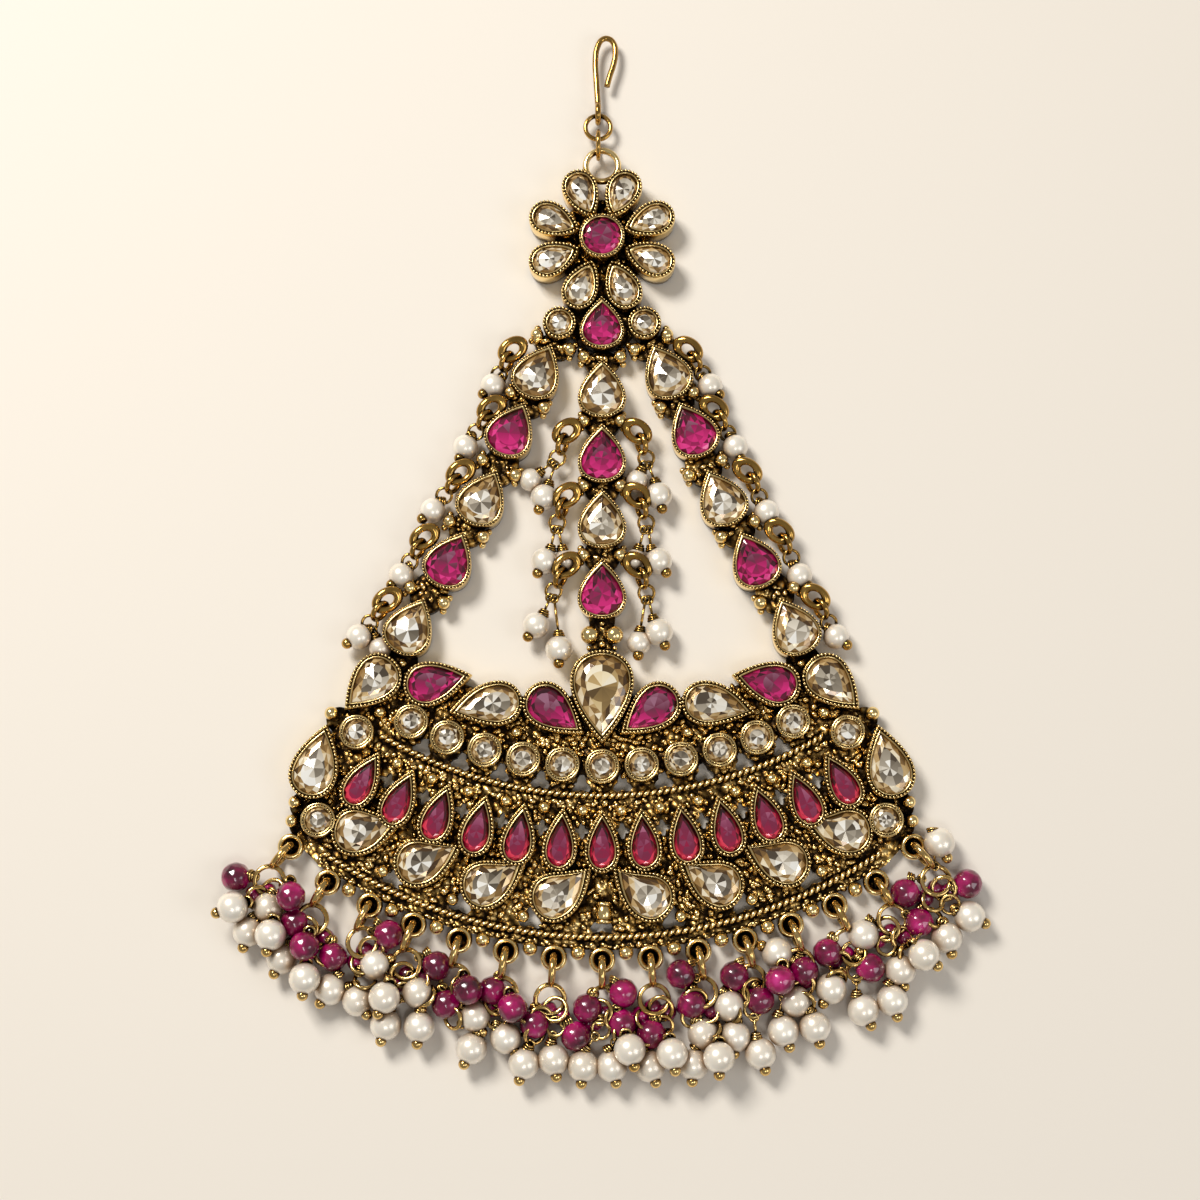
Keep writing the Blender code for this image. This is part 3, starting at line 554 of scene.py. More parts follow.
# Crown
crownPlan = {
    "flowerY": 58.9, "petals": 8, "reach": 6.5, "plateRadius": 6.0, "apexY": 47.9, "apexRoundX": 5.4,
    "neck": [(-2.9, 4.8), (0.5, 11.2), (3.1, 7.2), (8.1, 4.8)],
    "petal": {"width": 4.7, "length": 6.9, "top": 3.4, "soft": 0.3}, "round": {"width": 4.3, "top": 3.0},
    "ruby": {"width": 5.8, "top": 4.6}, "apex": {"width": 5.7, "length": 7.0, "top": 3.2},
    "granules": [(8.3, 46.1, 0.8), (4.5, 44.8, 0.7)], "bail": (2.1, 0.4, 69.2, 2.0),
    "specks": 90, "speckReach": (2.8, 5.9),
}


def makeCrown():
    plan = crownPlan
    casting = Piece("crownCasting", [gold, patina], "antique_gold", "crown")
    clear = stonePiece("crownStones", "clear")
    disc = discMesh(2 * plan["plateRadius"], [(0.1, 0.0), (0.0, 0.3), (0.0, 1.2)], 64)
    casting.add(disc, at(0, plan["flowerY"]), 1)
    right = [(width / 2, plan["apexY"] + rise) for rise, width in plan["neck"]]
    casting.add(plateMesh(right + [(-x, y) for x, y in reversed(right)], 0.1, 1.3), material=1)

    def around(turn, away):
        return away * math.sin(turn), plan["flowerY"] + away * math.cos(turn)

    for index in range(plan["petals"]):
        turn = math.tau * (index + 0.5) / plan["petals"]
        spot = at(*around(turn, plan["reach"]), 0, math.pi - turn)
        addStud(casting, clear, plan["petal"], spot)
    for side in (-1, 1):
        addStud(casting, clear, plan["round"], at(side * plan["apexRoundX"], plan["apexY"]))
        for x, y, radius in plan["granules"]:
            addGranule(casting, side * x, y, 2.6, radius)
    radius, wire, y, z = plan["bail"]
    casting.add(ringMesh(radius, wire, 36, 12, 1.25), at(0, y, z))

    def spot():
        return around(dice.uniform(0, math.tau), dice.uniform(*plan["speckReach"]))

    addSpecks(casting, plan["specks"], spot, 1.3)
    for name, shapePlan in (("flower", plan["ruby"]), ("apex", plan["apex"])):
        ruby = stonePiece(name + "Ruby", "ruby", name + "_ruby")
        addStud(casting, ruby, shapePlan, at(0, plan[name + "Y"]), "knurl", 16, 0.45)
        ruby.finish()
    casting.finish()
    clear.finish()
    print("crown done")


# Strands
strandPlan = {
    "outer": [(8.0, 41.6), (11.3, 34.0), (14.8, 25.2), (18.8, 17.3), (23.6, 8.9)],
    "centre": [(0.0, 39.3), (0.0, 30.9), (0.0, 22.5), (0.0, 13.6)],
    "turn": math.radians(25), "link": {"width": 6.1, "length": 7.7, "top": 3.0, "floor": 0.0},
    "firstReach": 0.5, "overlap": 0.6, "granule": (2.3, 0.5), "granuleTop": 2.9, "granuleRadius": 0.85,
    "stub": [(1.7, 1.0), (1.3, -3.6)],
    "stubGranules": [(0.0, 3.1, 0.5), (-1.6, 3.6, 0.32), (1.6, 3.6, 0.32), (0.0, 0.5, 0.35)],
    "specks": 10, "speckHeight": 1.75, "speckSide": 2.2,
}


def addYoke(casting, tip, turn, reach):
    # the blackened backing behind a link's point
    shape = discMesh(4.6, [(0.1, 0.1), (0.0, 0.3), (0.0, 1.4), (0.3, 1.6)], 28)
    long = Matrix.Diagonal((1.0, (reach + 1.6) / 3.4, 1.0, 1.0))
    casting.add(shape, at(tip.x, tip.y, 0, turn) @ at(0, (reach - 0.6) / 2) @ long, 1)


def makeStrand(name, links, side=0):
    plan = strandPlan
    turn = side * plan["turn"]
    along = Vector((-math.sin(turn), math.cos(turn)))
    across = Vector((math.cos(turn), math.sin(turn)))
    word = name.split("_")[0]
    casting = Piece(word + "StrandCasting", [gold, patina], "antique_gold", name)
    above = None
    for number, (x, y) in enumerate(links, 1):
        centre = Vector((side * x, y))
        kind = "clear" if number % 2 else "ruby"
        stone = stonePiece(f"{word}StrandStone{number}", kind, f"{name}_stone_{number}")
        addStud(casting, stone, plan["link"], at(centre.x, centre.y, 0, turn), "knurl", 15, 0.4)
        stone.finish()
        length = plan["link"]["length"]
        tip = centre + along * length / 2
        reach = (above - centre).dot(along) - length + plan["overlap"] if above else plan["firstReach"]
        addYoke(casting, tip, turn, reach)
        for way in (-1, 1):
            granule = tip + across * way * plan["granule"][0] + along * plan["granule"][1]
            addGranule(casting, granule.x, granule.y, plan["granuleTop"], plan["granuleRadius"])
            for offset in (-0.9, 0.9):
                bead = granule + across * way * 0.35 + along * offset
                casting.add(smallGranuleMesh, at(bead.x, bead.y, 1.55))
        above = centre
        fillYoke(casting, tip, along, across, reach)
    if not side:
        addTail(casting, above.y - plan["link"]["length"] / 2)
    casting.finish()


def addTail(casting, top):
    # two big granules on a stub that reaches the golden crystal
    (wide, above), (narrow, below) = strandPlan["stub"]
    corners = [(-wide, top + above), (wide, top + above), (narrow, top + below), (-narrow, top + below)]
    casting.add(plateMesh(corners, 0.1, 1.7), material=1)
    for x in (-1.5, 1.5):
        addGranule(casting, x, top - 1.9, 3.1, 1.15, 20, 12)
    for x, y, radius in strandPlan["stubGranules"]:
        addGranule(casting, x, top - y, 2.4, radius, 14, 8)


def fillYoke(casting, tip, along, across, reach):
    def spot():
        place = tip + across * dice.uniform(-wide, wide) + along * dice.uniform(0.1, max(reach, 0.3))
        return place.x, place.y

    wide = strandPlan["speckSide"]
    addSpecks(casting, strandPlan["specks"], spot, strandPlan["speckHeight"])


pinPlan = {
    "head": 0.70, "out": 0.15, "lift": 0.45, "into": 0.05,
    "wire": 0.17, "wraps": (0.66, 0.58, 0.44), "step": 0.29, "eye": 0.48,
}


def addPin(wires, centre, heading, radius, root, headed=True):
    # a head pin through a bead: ball in front, wraps behind, and the wire to its ring; all in millimetres
    plan = pinPlan
    if headed:
        front = centre + heading * (radius + plan["head"] * plan["out"]) + Vector((0, 0, plan["lift"]))
        wires.add(ballMesh(plan["head"], 14, 10), Matrix.Translation(front * mm))
    back = centre - heading * (radius - plan["into"])
    pull = (root - back).normalized()
    turned = pull.to_track_quat("Z", "Y").to_matrix().to_4x4()
    for number, size in enumerate(plan["wraps"]):
        away = back + pull * plan["step"] * number
        wires.add(ringMesh(size, plan["wire"], 14, 6), Matrix.Translation(away * mm) @ turned)
    wires.add(rodMesh(back * mm, root * mm, plan["wire"]))
    wires.add(ringMesh(plan["eye"], plan["wire"], 14, 6), Matrix.Translation(root * mm) @ turned @ upright)


# Pearls beside the strands: loop, then each pearl's x, y, radius and the way its pin points, if it shows
sideDrops = {
    "left_strand": [
        ((-11.3, 44.5), [(-13.8, 39.9, 1.6, -155)]),
        ((-13.9, 36.8), [(-17.2, 31.9, 1.6, -105)]),
        ((-17.7, 28.5), [(-21.2, 23.7, 1.6, -150)]),
        ((-22.1, 20.2), [(-25.0, 15.4, 1.6, -145)]),
        ((-26.6, 12.2), [(-30.1, 7.7, 1.6, -165), (-27.5, 6.3, 1.4, None)]),
    ],
    "right_strand": [
        ((10.9, 44.5), [(13.7, 39.9, 1.6, -35)]),
        ((14.1, 36.8), [(16.8, 31.9, 1.6, -75)]),
        ((18.2, 28.7), [(20.6, 23.5, 1.6, -35)]),
        ((22.1, 20.9), [(24.6, 15.4, 1.6, -40)]),
        ((26.4, 12.6), [(29.0, 7.7, 1.6, -20)]),
    ],
    "centre_strand": [
        ((-4.4, 33.8), [(-7.3, 25.4, 1.68, -111), (-9.0, 27.7, 1.45, None)]),
        ((4.4, 33.8), [(7.1, 25.6, 1.70, -82), (4.4, 27.5, 1.45, None)]),
        ((-4.4, 25.5), [(-7.2, 17.2, 1.68, -126), (-4.7, 17.4, 1.35, None)]),
        ((4.4, 25.5), [(7.05, 17.2, 1.70, -44), (4.2, 17.5, 1.35, None)]),
        ((-4.4, 16.6), [(-8.2, 9.1, 1.65, -129), (-5.35, 6.1, 1.70, -95)]),
        ((4.4, 16.6), [(7.05, 8.2, 1.75, -61), (4.6, 6.9, 1.50, -90)]),
    ],
}
dropPlan = {
    "loop": (1.30, 0.56, 2.3), "aside": 0.6, "lean": 0.40, "stretch": (1.15, 0.84), "start": (0.2, -0.4, 1.8),
    "ring": (1.20, 0.34), "ringLean": 0.35, "small": (0.95, 0.20), "smallHeight": 1.9, "smallLean": 0.25,
}


def makeDrops(name):
    # thick loop on the casting, a ring below it, a small ring, then the pearls on their pins
    plan = dropPlan
    word = name.split("_")[0]
    for number, (loop, pearls) in enumerate(sideDrops[name], 1):
        side = 1 if loop[0] > 0 else -1
        wires = Piece(f"{word}DropWires{number}", [agedGold], "antique_gold")
        radius, wire, height = plan["loop"]
        squashed = Matrix.Diagonal((*plan["stretch"], 1.0, 1.0))
        leaning = at(*loop, height, -side * plan["aside"]) @ Matrix.Rotation(plan["lean"], 4, "X")
        wires.add(ringMesh(radius, wire, 28, 12), leaning @ squashed)
        right, up, startHeight = plan["start"]
        start = Vector((loop[0] + side * right, loop[1] + up, startHeight))
        goal = Vector((pearls[0][0], pearls[0][1], 1.6))
        way = (goal - start).normalized()
        ringRadius, ringWire = plan["ring"]
        middle = start + way * ringRadius
        standing = Matrix.Rotation(math.pi / 2 - plan["ringLean"] * side, 4, "X")
        wires.add(ringMesh(ringRadius, ringWire), at(*middle, math.atan2(way.y, way.x)) @ standing)
        smallRadius, smallWire = plan["small"]
        low = middle + way * (ringRadius + smallRadius * 0.8)
        flat = at(low.x, low.y, plan["smallHeight"]) @ Matrix.Rotation(plan["smallLean"], 4, "X")
        wires.add(ringMesh(smallRadius, smallWire, 24, 8), flat)
        nodes = [f"{name}_drop_{number}"] if name != "centre_strand" else []
        beads = Piece(f"{word}DropPearls{number}", [pearlLook], "pearl", *nodes)
        for x, y, size, heading in pearls:
            centre = Vector((x, y, size + 0.02))
            toRing = (centre - low).normalized()
            foot = low + toRing * smallRadius
            foot.z = plan["smallHeight"]
            pinWay = toRing
            if heading is not None:
                pinWay = (pointing(math.radians(heading)) + toRing).normalized()
            addPin(wires, centre, pinWay, size, foot, heading is not None)
            beads.add(ballMesh(size, 28, 18), Matrix.Translation(centre * mm))
        wires.finish()
        beads.finish()


# Crescent
crescentPlan = {
    "rounds": {"low": -8.5, "radius": 52.5, "count": 11, "pitch": 4.85},
    "upperRope": {"low": -12.0, "radius": 53.7, "half": 30},
    "teardrops": {"low": -17.6, "radius": 60.2, "count": 13, "pitch": 5.06},
    "leaves": {
        "low": -24.0, "radius": 58.2, "count": 4, "pitch": 8.43, "start": 0.55, "turn": math.radians(62),
        "bend": 0.22,
    },
    "lowerRope": {"low": -29.1, "radius": 61.6, "half": 33},
    "eyelets": {
        "low": -31.8, "radius": 64.3, "count": 13, "pitch": 5.836, "end": (37.9, -18.2, math.radians(40)),
    },
    "rope": {"spacing": 0.84, "height": 1.5, "lean": 0.6},
    "trim": {"drop": 1.15, "spacing": 0.9, "height": 1.25, "lean": 0.2},
    "granuleRows": [
        {"low": -13.9, "radius": 56.8, "count": 12, "step": 4.77, "size": 0.75},
        {"low": -31.0, "radius": 65.9, "count": 12, "step": 5.05, "size": 0.9},
    ],
    "specks": {"tries": 4000, "height": 1.24, "angles": (-36, 36), "rises": (-22, 8), "ropeRoom": 0.75},
    "round": {"width": 4.3, "top": 3.0}, "teardrop": {"width": 4.3, "length": 7.8, "top": 3.0},
    "leaf": {"width": 6.0, "length": 8.6, "top": 2.8}, "crystal": {"width": 7.9, "length": 11.6, "top": 3.4},
    "eyelet": (1.25, 0.38, 1.3), "thickness": 1.2, "border": 1.6,
    "edge": [(0.0, 11.0), (7.3, 7.5), (17.4, 7.0), (26.6, 6.7), (35.5, 2.5), (34.4, -2.3),
             (34.7, -10.8), (32.0, -16.6), (31.3, -19.4)],
    "lowerEdge": (33, 24, 16, 8, 0),
    "gaps": [("rounds", "rounds", 2.15, 10, 2.7, 3), ("teardrops", "teardrops", -1.3, 12, 2.1, 4),
             ("leaves", "lowerRope", -1.6, 7, 3.2, 3)],
    "corners": [(31.9, -4.4), (30.3, -15.9)], "barrel": (0.2, -26.2, 1.0, 1.35),
    "backing": [(25.0, 4.6, 2.2), (32.4, -2.6, 1.6), (36.4, -13.2, 1.8), (36.6, -15.6, 1.6)],
}
# Beside the row of rounds: angle along it, rise above it, turn, then width, length and bend
topSettings = {
    "ruby_drop": (7.1, 6.3, 128, 5.7, 8.8, 0.0),
    "clear_leaf": (17.7, 5.4, -95, 5.6, 9.2, 0.1),
    "ruby_leaf": (25.6, 5.8, 78, 5.6, 8.6, 0.0),
    "outer_leaf": (33.9, 1.3, -135, 6.0, 8.6, 0.0),
    "side_teardrop": (33.9, -10.0, 14, 6.0, 9.4, 0.0),
}
looseGranules = [
    (27.3, -1.8, 0.75), (10.5, -4.3, 0.7), (37.5, -12.8, 0.8), (37.8, -15.1, 0.8), (33.3, -1.9, 0.85),
    (26.6, -21.2, 0.75), (18.1, -24.6, 0.75), (9.5, -26.6, 0.75), (24.6, 4.2, 0.5),
]


def onRow(row, angle):
    return row["radius"] * math.sin(angle), row["low"] + row["radius"] * (1 - math.cos(angle))


def evenAngles(count, step):
    return [step * (index - (count - 1) / 2) for index in range(count)]


def rowAngles(row):
    return evenAngles(row["count"], row["pitch"] / row["radius"])


def shifted(row, drop):
    # the same arc, farther out by a drop
    return dict(row, low=row["low"] - drop, radius=row["radius"] + drop)


def besideRounds(angle, rise):
    return onRow(shifted(crescentPlan["rounds"], -rise), math.radians(angle))


def webOutline():
    plan = crescentPlan
    upper = [besideRounds(angle, rise) for angle, rise in plan["edge"]]
    border = shifted(plan["lowerRope"], plan["border"])
    right = upper + [onRow(border, math.radians(angle)) for angle in plan["lowerEdge"]]
    return right + [(-x, y) for x, y in right[-2:0:-1]]


def webGaps():
    # centre x, y, turn, width and sides of each pierced gap; a row sets their pitch, an arc their line
    gaps = []
    for row, arc, drop, count, width, sides in crescentPlan["gaps"]:
        step = crescentPlan[row]["pitch"] / crescentPlan[row]["radius"]
        for angle in evenAngles(count, step):
            spot = onRow(shifted(crescentPlan[arc], drop), angle)
            gaps.append((*spot, angle + math.pi / sides, width, sides))
    return gaps


def gapOutline(x, y, turn, width, sides):
    # a triangle or square with soft corners
    corners = []
    for index in range(sides * 5):
        angle = math.tau * index / (sides * 5)
        reach = width / 2 * (0.74 - 0.26 * math.cos(sides * angle))
        corner = Matrix.Rotation(turn, 2) @ Vector((math.sin(angle), math.cos(angle))) * reach
        corners.append((x + corner.x, y + corner.y))
    return corners


def inside(x, y, outline):
    hit = False
    for (ax, ay), (bx, by) in zip(outline, outline[1:] + outline[:1]):
        if (ay > y) != (by > y) and x < (bx - ax) * (y - ay) / (by - ay) + ax:
            hit = not hit
    return hit


def addRope(casting, row, bead, rope):
    # a twisted wire: slanting turns side by side along an arc
    half = math.radians(row["half"])
    count = round(2 * half * row["radius"] / rope["spacing"])
    for index in range(count + 1):
        angle = -half + 2 * half * index / count
        casting.add(bead, at(*onRow(row, angle), rope["height"], angle + rope["lean"]))


def addBarrel(casting, x, y, radius, half):
    # a small upright barrel with a collar at each end
    body = ballMesh(radius, 20, 12)
    casting.add(body, at(x, y, 1.7) @ Matrix.Diagonal((1.0, half / radius, 1.0, 1.0)))
    collar = ringMesh(radius * 0.72, 0.26, 20, 8)
    for way in (-1, 1):
        casting.add(collar, at(x, y + way * half * 0.78, 1.7) @ upright)


def eyelets():
    row = crescentPlan["eyelets"]
    x, y, turn = row["end"]
    middle = [(*onRow(row, angle), angle) for angle in rowAngles(row)]
    return [(-x, y, -turn)] + middle + [(x, y, turn)]


def makeCrescent():
    plan = crescentPlan
    casting = Piece("crescentCasting", [gold, patina], "antique_gold", "crescent")
    clear = stonePiece("crescentClearStones", "clear")
    deep = stonePiece("crescentRubyTeardrops", "deep")
    gaps = webGaps()
    outline = webOutline()
    web = plateMesh(outline, 0.0, plan["thickness"], [gapOutline(*gap) for gap in gaps])
    casting.add(web, material=1)

    for angle in rowAngles(plan["rounds"]):
        addStud(casting, clear, plan["round"], at(*onRow(plan["rounds"], angle), 0, angle), "band", 12)
    for angle in rowAngles(plan["teardrops"]):
        addStud(casting, deep, plan["teardrop"], at(*onRow(plan["teardrops"], angle), 0, angle))
    leaves = plan["leaves"]
    for side in (-1, 1):
        leaf = dict(plan["leaf"], bend=leaves["bend"] * side)
        for index in range(leaves["count"]):
            angle = side * leaves["pitch"] / leaves["radius"] * (index + leaves["start"])
            addStud(casting, clear, leaf, at(*onRow(leaves, angle), 0, angle + side * leaves["turn"]))
        for angle, rise in plan["corners"]:
            addStud(casting, clear, plan["round"], at(*besideRounds(side * angle, rise)), "band", 12)
        for x, y, radius in looseGranules:
            addGranule(casting, side * x, y, 2.6, radius)
        word = "left" if side < 0 else "right"
        for name, (angle, rise, turn, width, length, bend) in topSettings.items():
            shapePlan = {"width": width, "length": length, "bend": bend * side, "top": 3.0}
            place = at(*besideRounds(side * angle, rise), 0, side * math.radians(turn))
            if name.startswith("ruby"):
                ruby = stonePiece(word + name.title().replace("_", ""), "ruby", f"{word}_{name}")
                addStud(casting, ruby, shapePlan, place, sides=16)
                ruby.finish()
            else:
                addStud(casting, clear, shapePlan, place, sides=16)
    crystal = stonePiece("goldenCrystal", "golden", "golden_crystal")
    addStud(casting, crystal, plan["crystal"], at(0, 0, 0, math.pi), sides=20, rise=0.5)
    crystal.finish()

    twist = beadMesh(0.68, 2, (1.0, 0.46, 0.74))
    for row in (plan["upperRope"], plan["lowerRope"]):
        addRope(casting, row, twist, plan["rope"])
    addBarrel(casting, *plan["barrel"])
    trim = plan["trim"]
    addRope(casting, shifted(plan["lowerRope"], trim["drop"]), beadMesh(0.32, 1, (1.3, 0.8, 0.8)), trim)
    for row in plan["granuleRows"]:
        for angle in evenAngles(row["count"], math.radians(row["step"])):
            addGranule(casting, *onRow(row, angle), 2.4, row["size"])
    radius, wire, height = plan["eyelet"]
    eyeletRing = ringMesh(radius, wire, 28, 10, 1.7)
    # a dark disc inside each eyelet ring: painted shade where the inside of the ring is shadowed
    shadeDisc = discMesh(2 * radius, [(0.0, 0.1), (0.0, 0.3)], 24)
    for x, y, turn in eyelets():
        casting.add(eyeletRing, at(x, y, height, turn))
        casting.add(shadeDisc, at(x, y), 1)

    specks = plan["specks"]

    def spot():
        place = besideRounds(dice.uniform(*specks["angles"]), dice.uniform(*specks["rises"]))
        near = any(math.hypot(place[0] - gap[0], place[1] - gap[1]) < gap[3] * 0.45 for gap in gaps)
        for row in (plan["upperRope"], plan["lowerRope"]):
            away = math.hypot(place[0], row["low"] + row["radius"] - place[1]) - row["radius"]
            near = near or abs(away) < specks["ropeRoom"]
        return None if near or not inside(*place, outline) else place

    addSpecks(casting, specks["tries"], spot, specks["height"])
    for side in (-1, 1):
        for x, y, radius in plan["backing"]:
            pad = discMesh(2 * radius, [(0.1, 0.1), (0.0, 0.4), (0.0, 1.1)], 24)
            casting.add(pad, at(side * x, y), 1)
    for piece in (casting, clear, deep):
        piece.finish()
    print("crescent done")


# Fringe: eyelet number, bead, x and y, and the way its pin points in degrees
fringeBeads = [
    (1, "ruby", -44.4, -21.9, -175), (1, "pearl", -45.6, -25.9, -160), (1, "pearl", -42.0, -27.9, -105),
    (1, "pearl", -40.1, -25.8, -105), (1, "pearl", -39.7, -29.1, -100), (1, "ruby", -37.7, -24.7, -90),
    (1, "ruby", -37.6, -27.4, -90), (2, "pearl", -38.7, -31.0, -115), (2, "pearl", -35.1, -34.1, -95),
    (2, "ruby", -35.8, -30.2, -110), (2, "ruby", -32.4, -31.4, -85), (2, "pearl", -32.3, -35.4, -125),
    (3, "pearl", -30.0, -36.3, -55), (3, "pearl", -26.0, -36.6, -110), (3, "pearl", -27.3, -32.4, 20),
    (3, "ruby", -25.8, -28.8, -55), (4, "pearl", -25.9, -39.1, -105), (4, "pearl", -21.9, -39.7, -95),
    (4, "pearl", -21.8, -35.8, -75), (4, "ruby", -19.9, -32.5, -60), (5, "pearl", -15.6, -42.1, -115),
    (5, "pearl", -15.1, -38.1, -65), (5, "ruby", -18.7, -36.7, -75), (5, "ruby", -15.6, -35.7, -75),
    (6, "pearl", -11.3, -41.3, -55), (6, "ruby", -13.8, -35.9, -115), (6, "ruby", -10.7, -37.4, -80),
    (7, "pearl", -8.8, -43.6, -105), (7, "pearl", -5.7, -43.7, -80), (7, "ruby", -8.3, -39.2, -95),
    (7, "ruby", -2.9, -40.7, -65), (8, "pearl", -1.9, -44.3, -95), (8, "pearl", 0.6, -44.0, -75),
    (8, "pearl", 2.9, -42.8, -75), (8, "ruby", -2.0, -38.1, -110), (8, "ruby", 2.5, -36.2, -60),
    (8, "ruby", 2.7, -39.2, -70), (9, "pearl", 6.0, -44.3, -70), (9, "pearl", 8.5, -43.5, -80),
    (9, "ruby", 5.5, -40.6, -100), (10, "pearl", 10.7, -43.3, -95), (10, "pearl", 12.2, -40.8, -60),
    (10, "pearl", 13.5, -42.9, -90), (10, "ruby", 9.5, -33.6, -125), (10, "ruby", 10.8, -37.2, -95),
    (11, "pearl", 15.6, -37.1, -65), (11, "pearl", 16.0, -41.0, -95), (11, "pearl", 18.4, -42.4, -75),
    (11, "ruby", 15.8, -34.3, -105), (11, "ruby", 18.8, -36.5, -70), (12, "pearl", 21.1, -31.2, 155),
    (12, "pearl", 21.7, -40.2, -70), (12, "pearl", 23.1, -36.5, 145), (12, "pearl", 25.3, -39.6, -75),
    (12, "ruby", 21.4, -34.3, -100), (12, "ruby", 24.6, -32.9, -75), (13, "pearl", 27.5, -35.2, -120),
    (13, "pearl", 31.7, -37.6, -65), (13, "ruby", 26.8, -31.2, -105), (13, "ruby", 32.8, -32.8, -40),
    (14, "pearl", 31.5, -28.8, -105), (14, "pearl", 34.5, -36.4, -75), (14, "pearl", 35.6, -33.0, -80),
    (14, "ruby", 38.4, -27.4, -105), (15, "pearl", 38.1, -31.5, -40), (15, "pearl", 41.0, -17.8, -65),
    (15, "pearl", 41.5, -29.0, -75), (15, "pearl", 44.4, -26.7, -25), (15, "ruby", 36.7, -23.8, -105),
    (15, "ruby", 44.3, -22.7, 15),
]
fringePlan = {
    "ruby": 1.88, "pearl": 1.90, "garnet": 1.2, "garnets": (-1.7, -0.2, 1.5), "ring": (1.70, 0.42),
    "gather": [
        (1.75, 0.30, 0.15, 0.0), (1.40, 0.27, -0.3, 0.7), (1.30, 0.25, 0.4, -1.0), (1.1, 0.23, -0.2, 0.9),
        (1.25, 0.26, 0.7, -1.5),
    ],
    "gatherTop": 2.6, "gatherLift": 0.3, "gatherOverlap": 0.15, "dip": -0.10,
    "settle": 260, "clear": 0.03, "ceiling": 3.75, "side": 44.4, "foot": -44.3,
    "lift": 0.25, "backLift": 0.9, "backFrom": 44.0, "backOver": 14.0, "stagger": 0.02,
    "sideways": 0.35, "home": 0.06, "sink": 0.03,
}


def settleBeads():
    # beads start side by side and push each other apart, mostly upwards
    plan = fringePlan
    spots = []
    for number, (_, kind, x, y, _) in enumerate(fringeBeads):
        back = min(1.0, max(0.0, (y + plan["backFrom"]) / plan["backOver"]))
        lift = plan["lift"] + plan["backLift"] * back + plan["stagger"] * (number % 5)
        spots.append(Vector((x, y, plan[kind] + lift)))
    sizes = [plan[row[1]] for row in fringeBeads]
    for _ in range(plan["settle"]):
        for first in range(len(spots)):
            for second in range(first + 1, len(spots)):
                apart = spots[second] - spots[first]
                need = sizes[first] + sizes[second] + plan["clear"] - apart.length
                if need <= 0:
                    continue
                push = apart.normalized() * need * 0.5
                push.x *= plan["sideways"]
                push.y *= plan["sideways"]
                spots[first] -= push
                spots[second] += push
        for index, spot in enumerate(spots):
            home = Vector(fringeBeads[index][2:4])
            spot.x += (home.x - spot.x) * plan["home"]
            spot.y += (home.y - spot.y) * plan["home"]
            spot.x = min(max(spot.x, -plan["side"]), plan["side"])
            spot.y = max(spot.y, plan["foot"])
            spot.z = min(max(spot.z - plan["sink"], sizes[index]), plan["ceiling"])
    return spots


def makeFringe():
    # each eyelet carries a thick ring seen on edge, then round rings that gather the pins
    plan = fringePlan
    spots = settleBeads()
    radius, wire = plan["ring"]
    height = radius + wire
    eyeletHeight = crescentPlan["eyelet"][2]
    meshes = {"pearl": ballMesh(plan["pearl"], 28, 18), "ruby": cutBead(plan["ruby"])}
    garnetMesh = cutBead(plan["garnet"])
    for number, (x, y, turn) in enumerate(eyelets(), 1):
        mine = [(row, spot) for row, spot in zip(fringeBeads, spots) if row[0] == number]
        outward = Vector((math.sin(turn), -math.cos(turn), 0))
        centre = Vector((x, y, height)) + outward * math.sqrt(radius ** 2 - (height - eyeletHeight) ** 2)
        root = centre + outward * radius
        middle = sum((spot for _, spot in mine), Vector()) / len(mine)
        way = Vector((middle.x - root.x, middle.y - root.y, 0)).normalized()
        wires = Piece(f"fringeWires{number:02d}", [wireGold], "antique_gold", f"fringe_{number:02d}")
        pearls = Piece(f"fringePearls{number:02d}", [pearlLook], "pearl")
        rubies = Piece(f"fringeRubies{number:02d}", [rubyBeadLook], "ruby_glass")
        wires.add(ringMesh(radius, wire), at(*centre, math.atan2(outward.y, outward.x)) @ upright)
        across = Vector((-way.y, way.x, 0))
        level = min(plan["gatherTop"], height + plan["gatherLift"])
        rings = []
        place = root
        for size, thick, tilt, aside in plan["gather"]:
            place = place + way * size
            spot = place + across * aside * (1 if number % 2 else -1)
            tilted = at(spot.x, spot.y, level, number) @ Matrix.Rotation(tilt, 4, "X")
            wires.add(ringMesh(size, thick, 28, 8), tilted)
            rings.append((Vector((spot.x, spot.y, level)), size))
            place = place - way * size * plan["gatherOverlap"]
        for aside in plan["garnets"]:
            spot = root + way * (2.6 + 0.3 * (number % 3) + 0.5 * abs(aside)) + across * aside
            rubies.add(garnetMesh, at(spot.x, spot.y, plan["garnet"] + 0.05, number))
        for (_, kind, _, _, heading), spot in mine:
            forward = pointing(math.radians(heading), plan["dip"]).normalized()
            size = plan[kind]
            back = spot - forward * size
            hub, reach = min(rings, key=lambda ring: (ring[0] - back).length)
            foot = hub + (back - hub).normalized() * reach
            foot.z = hub.z
            addPin(wires, spot, forward, size, foot, kind == "pearl")
            (pearls if kind == "pearl" else rubies).add(meshes[kind], Matrix.Translation(spot * mm))
        wires.finish()
        for piece in (pearls, rubies):
            if piece.shape.verts:
                piece.finish()
    print("fringe done")


def cutBead(radius):
    # a bead with soft facets
    shape = bmesh.new()
    bmesh.ops.create_icosphere(shape, subdivisions=2, radius=radius * mm)
    bmesh.ops.bevel(
        shape, geom=shape.edges[:], offset=0.14 * mm, affect="EDGES", segments=2, profile=0.5, material=-1
    )
    return asMesh(shape)


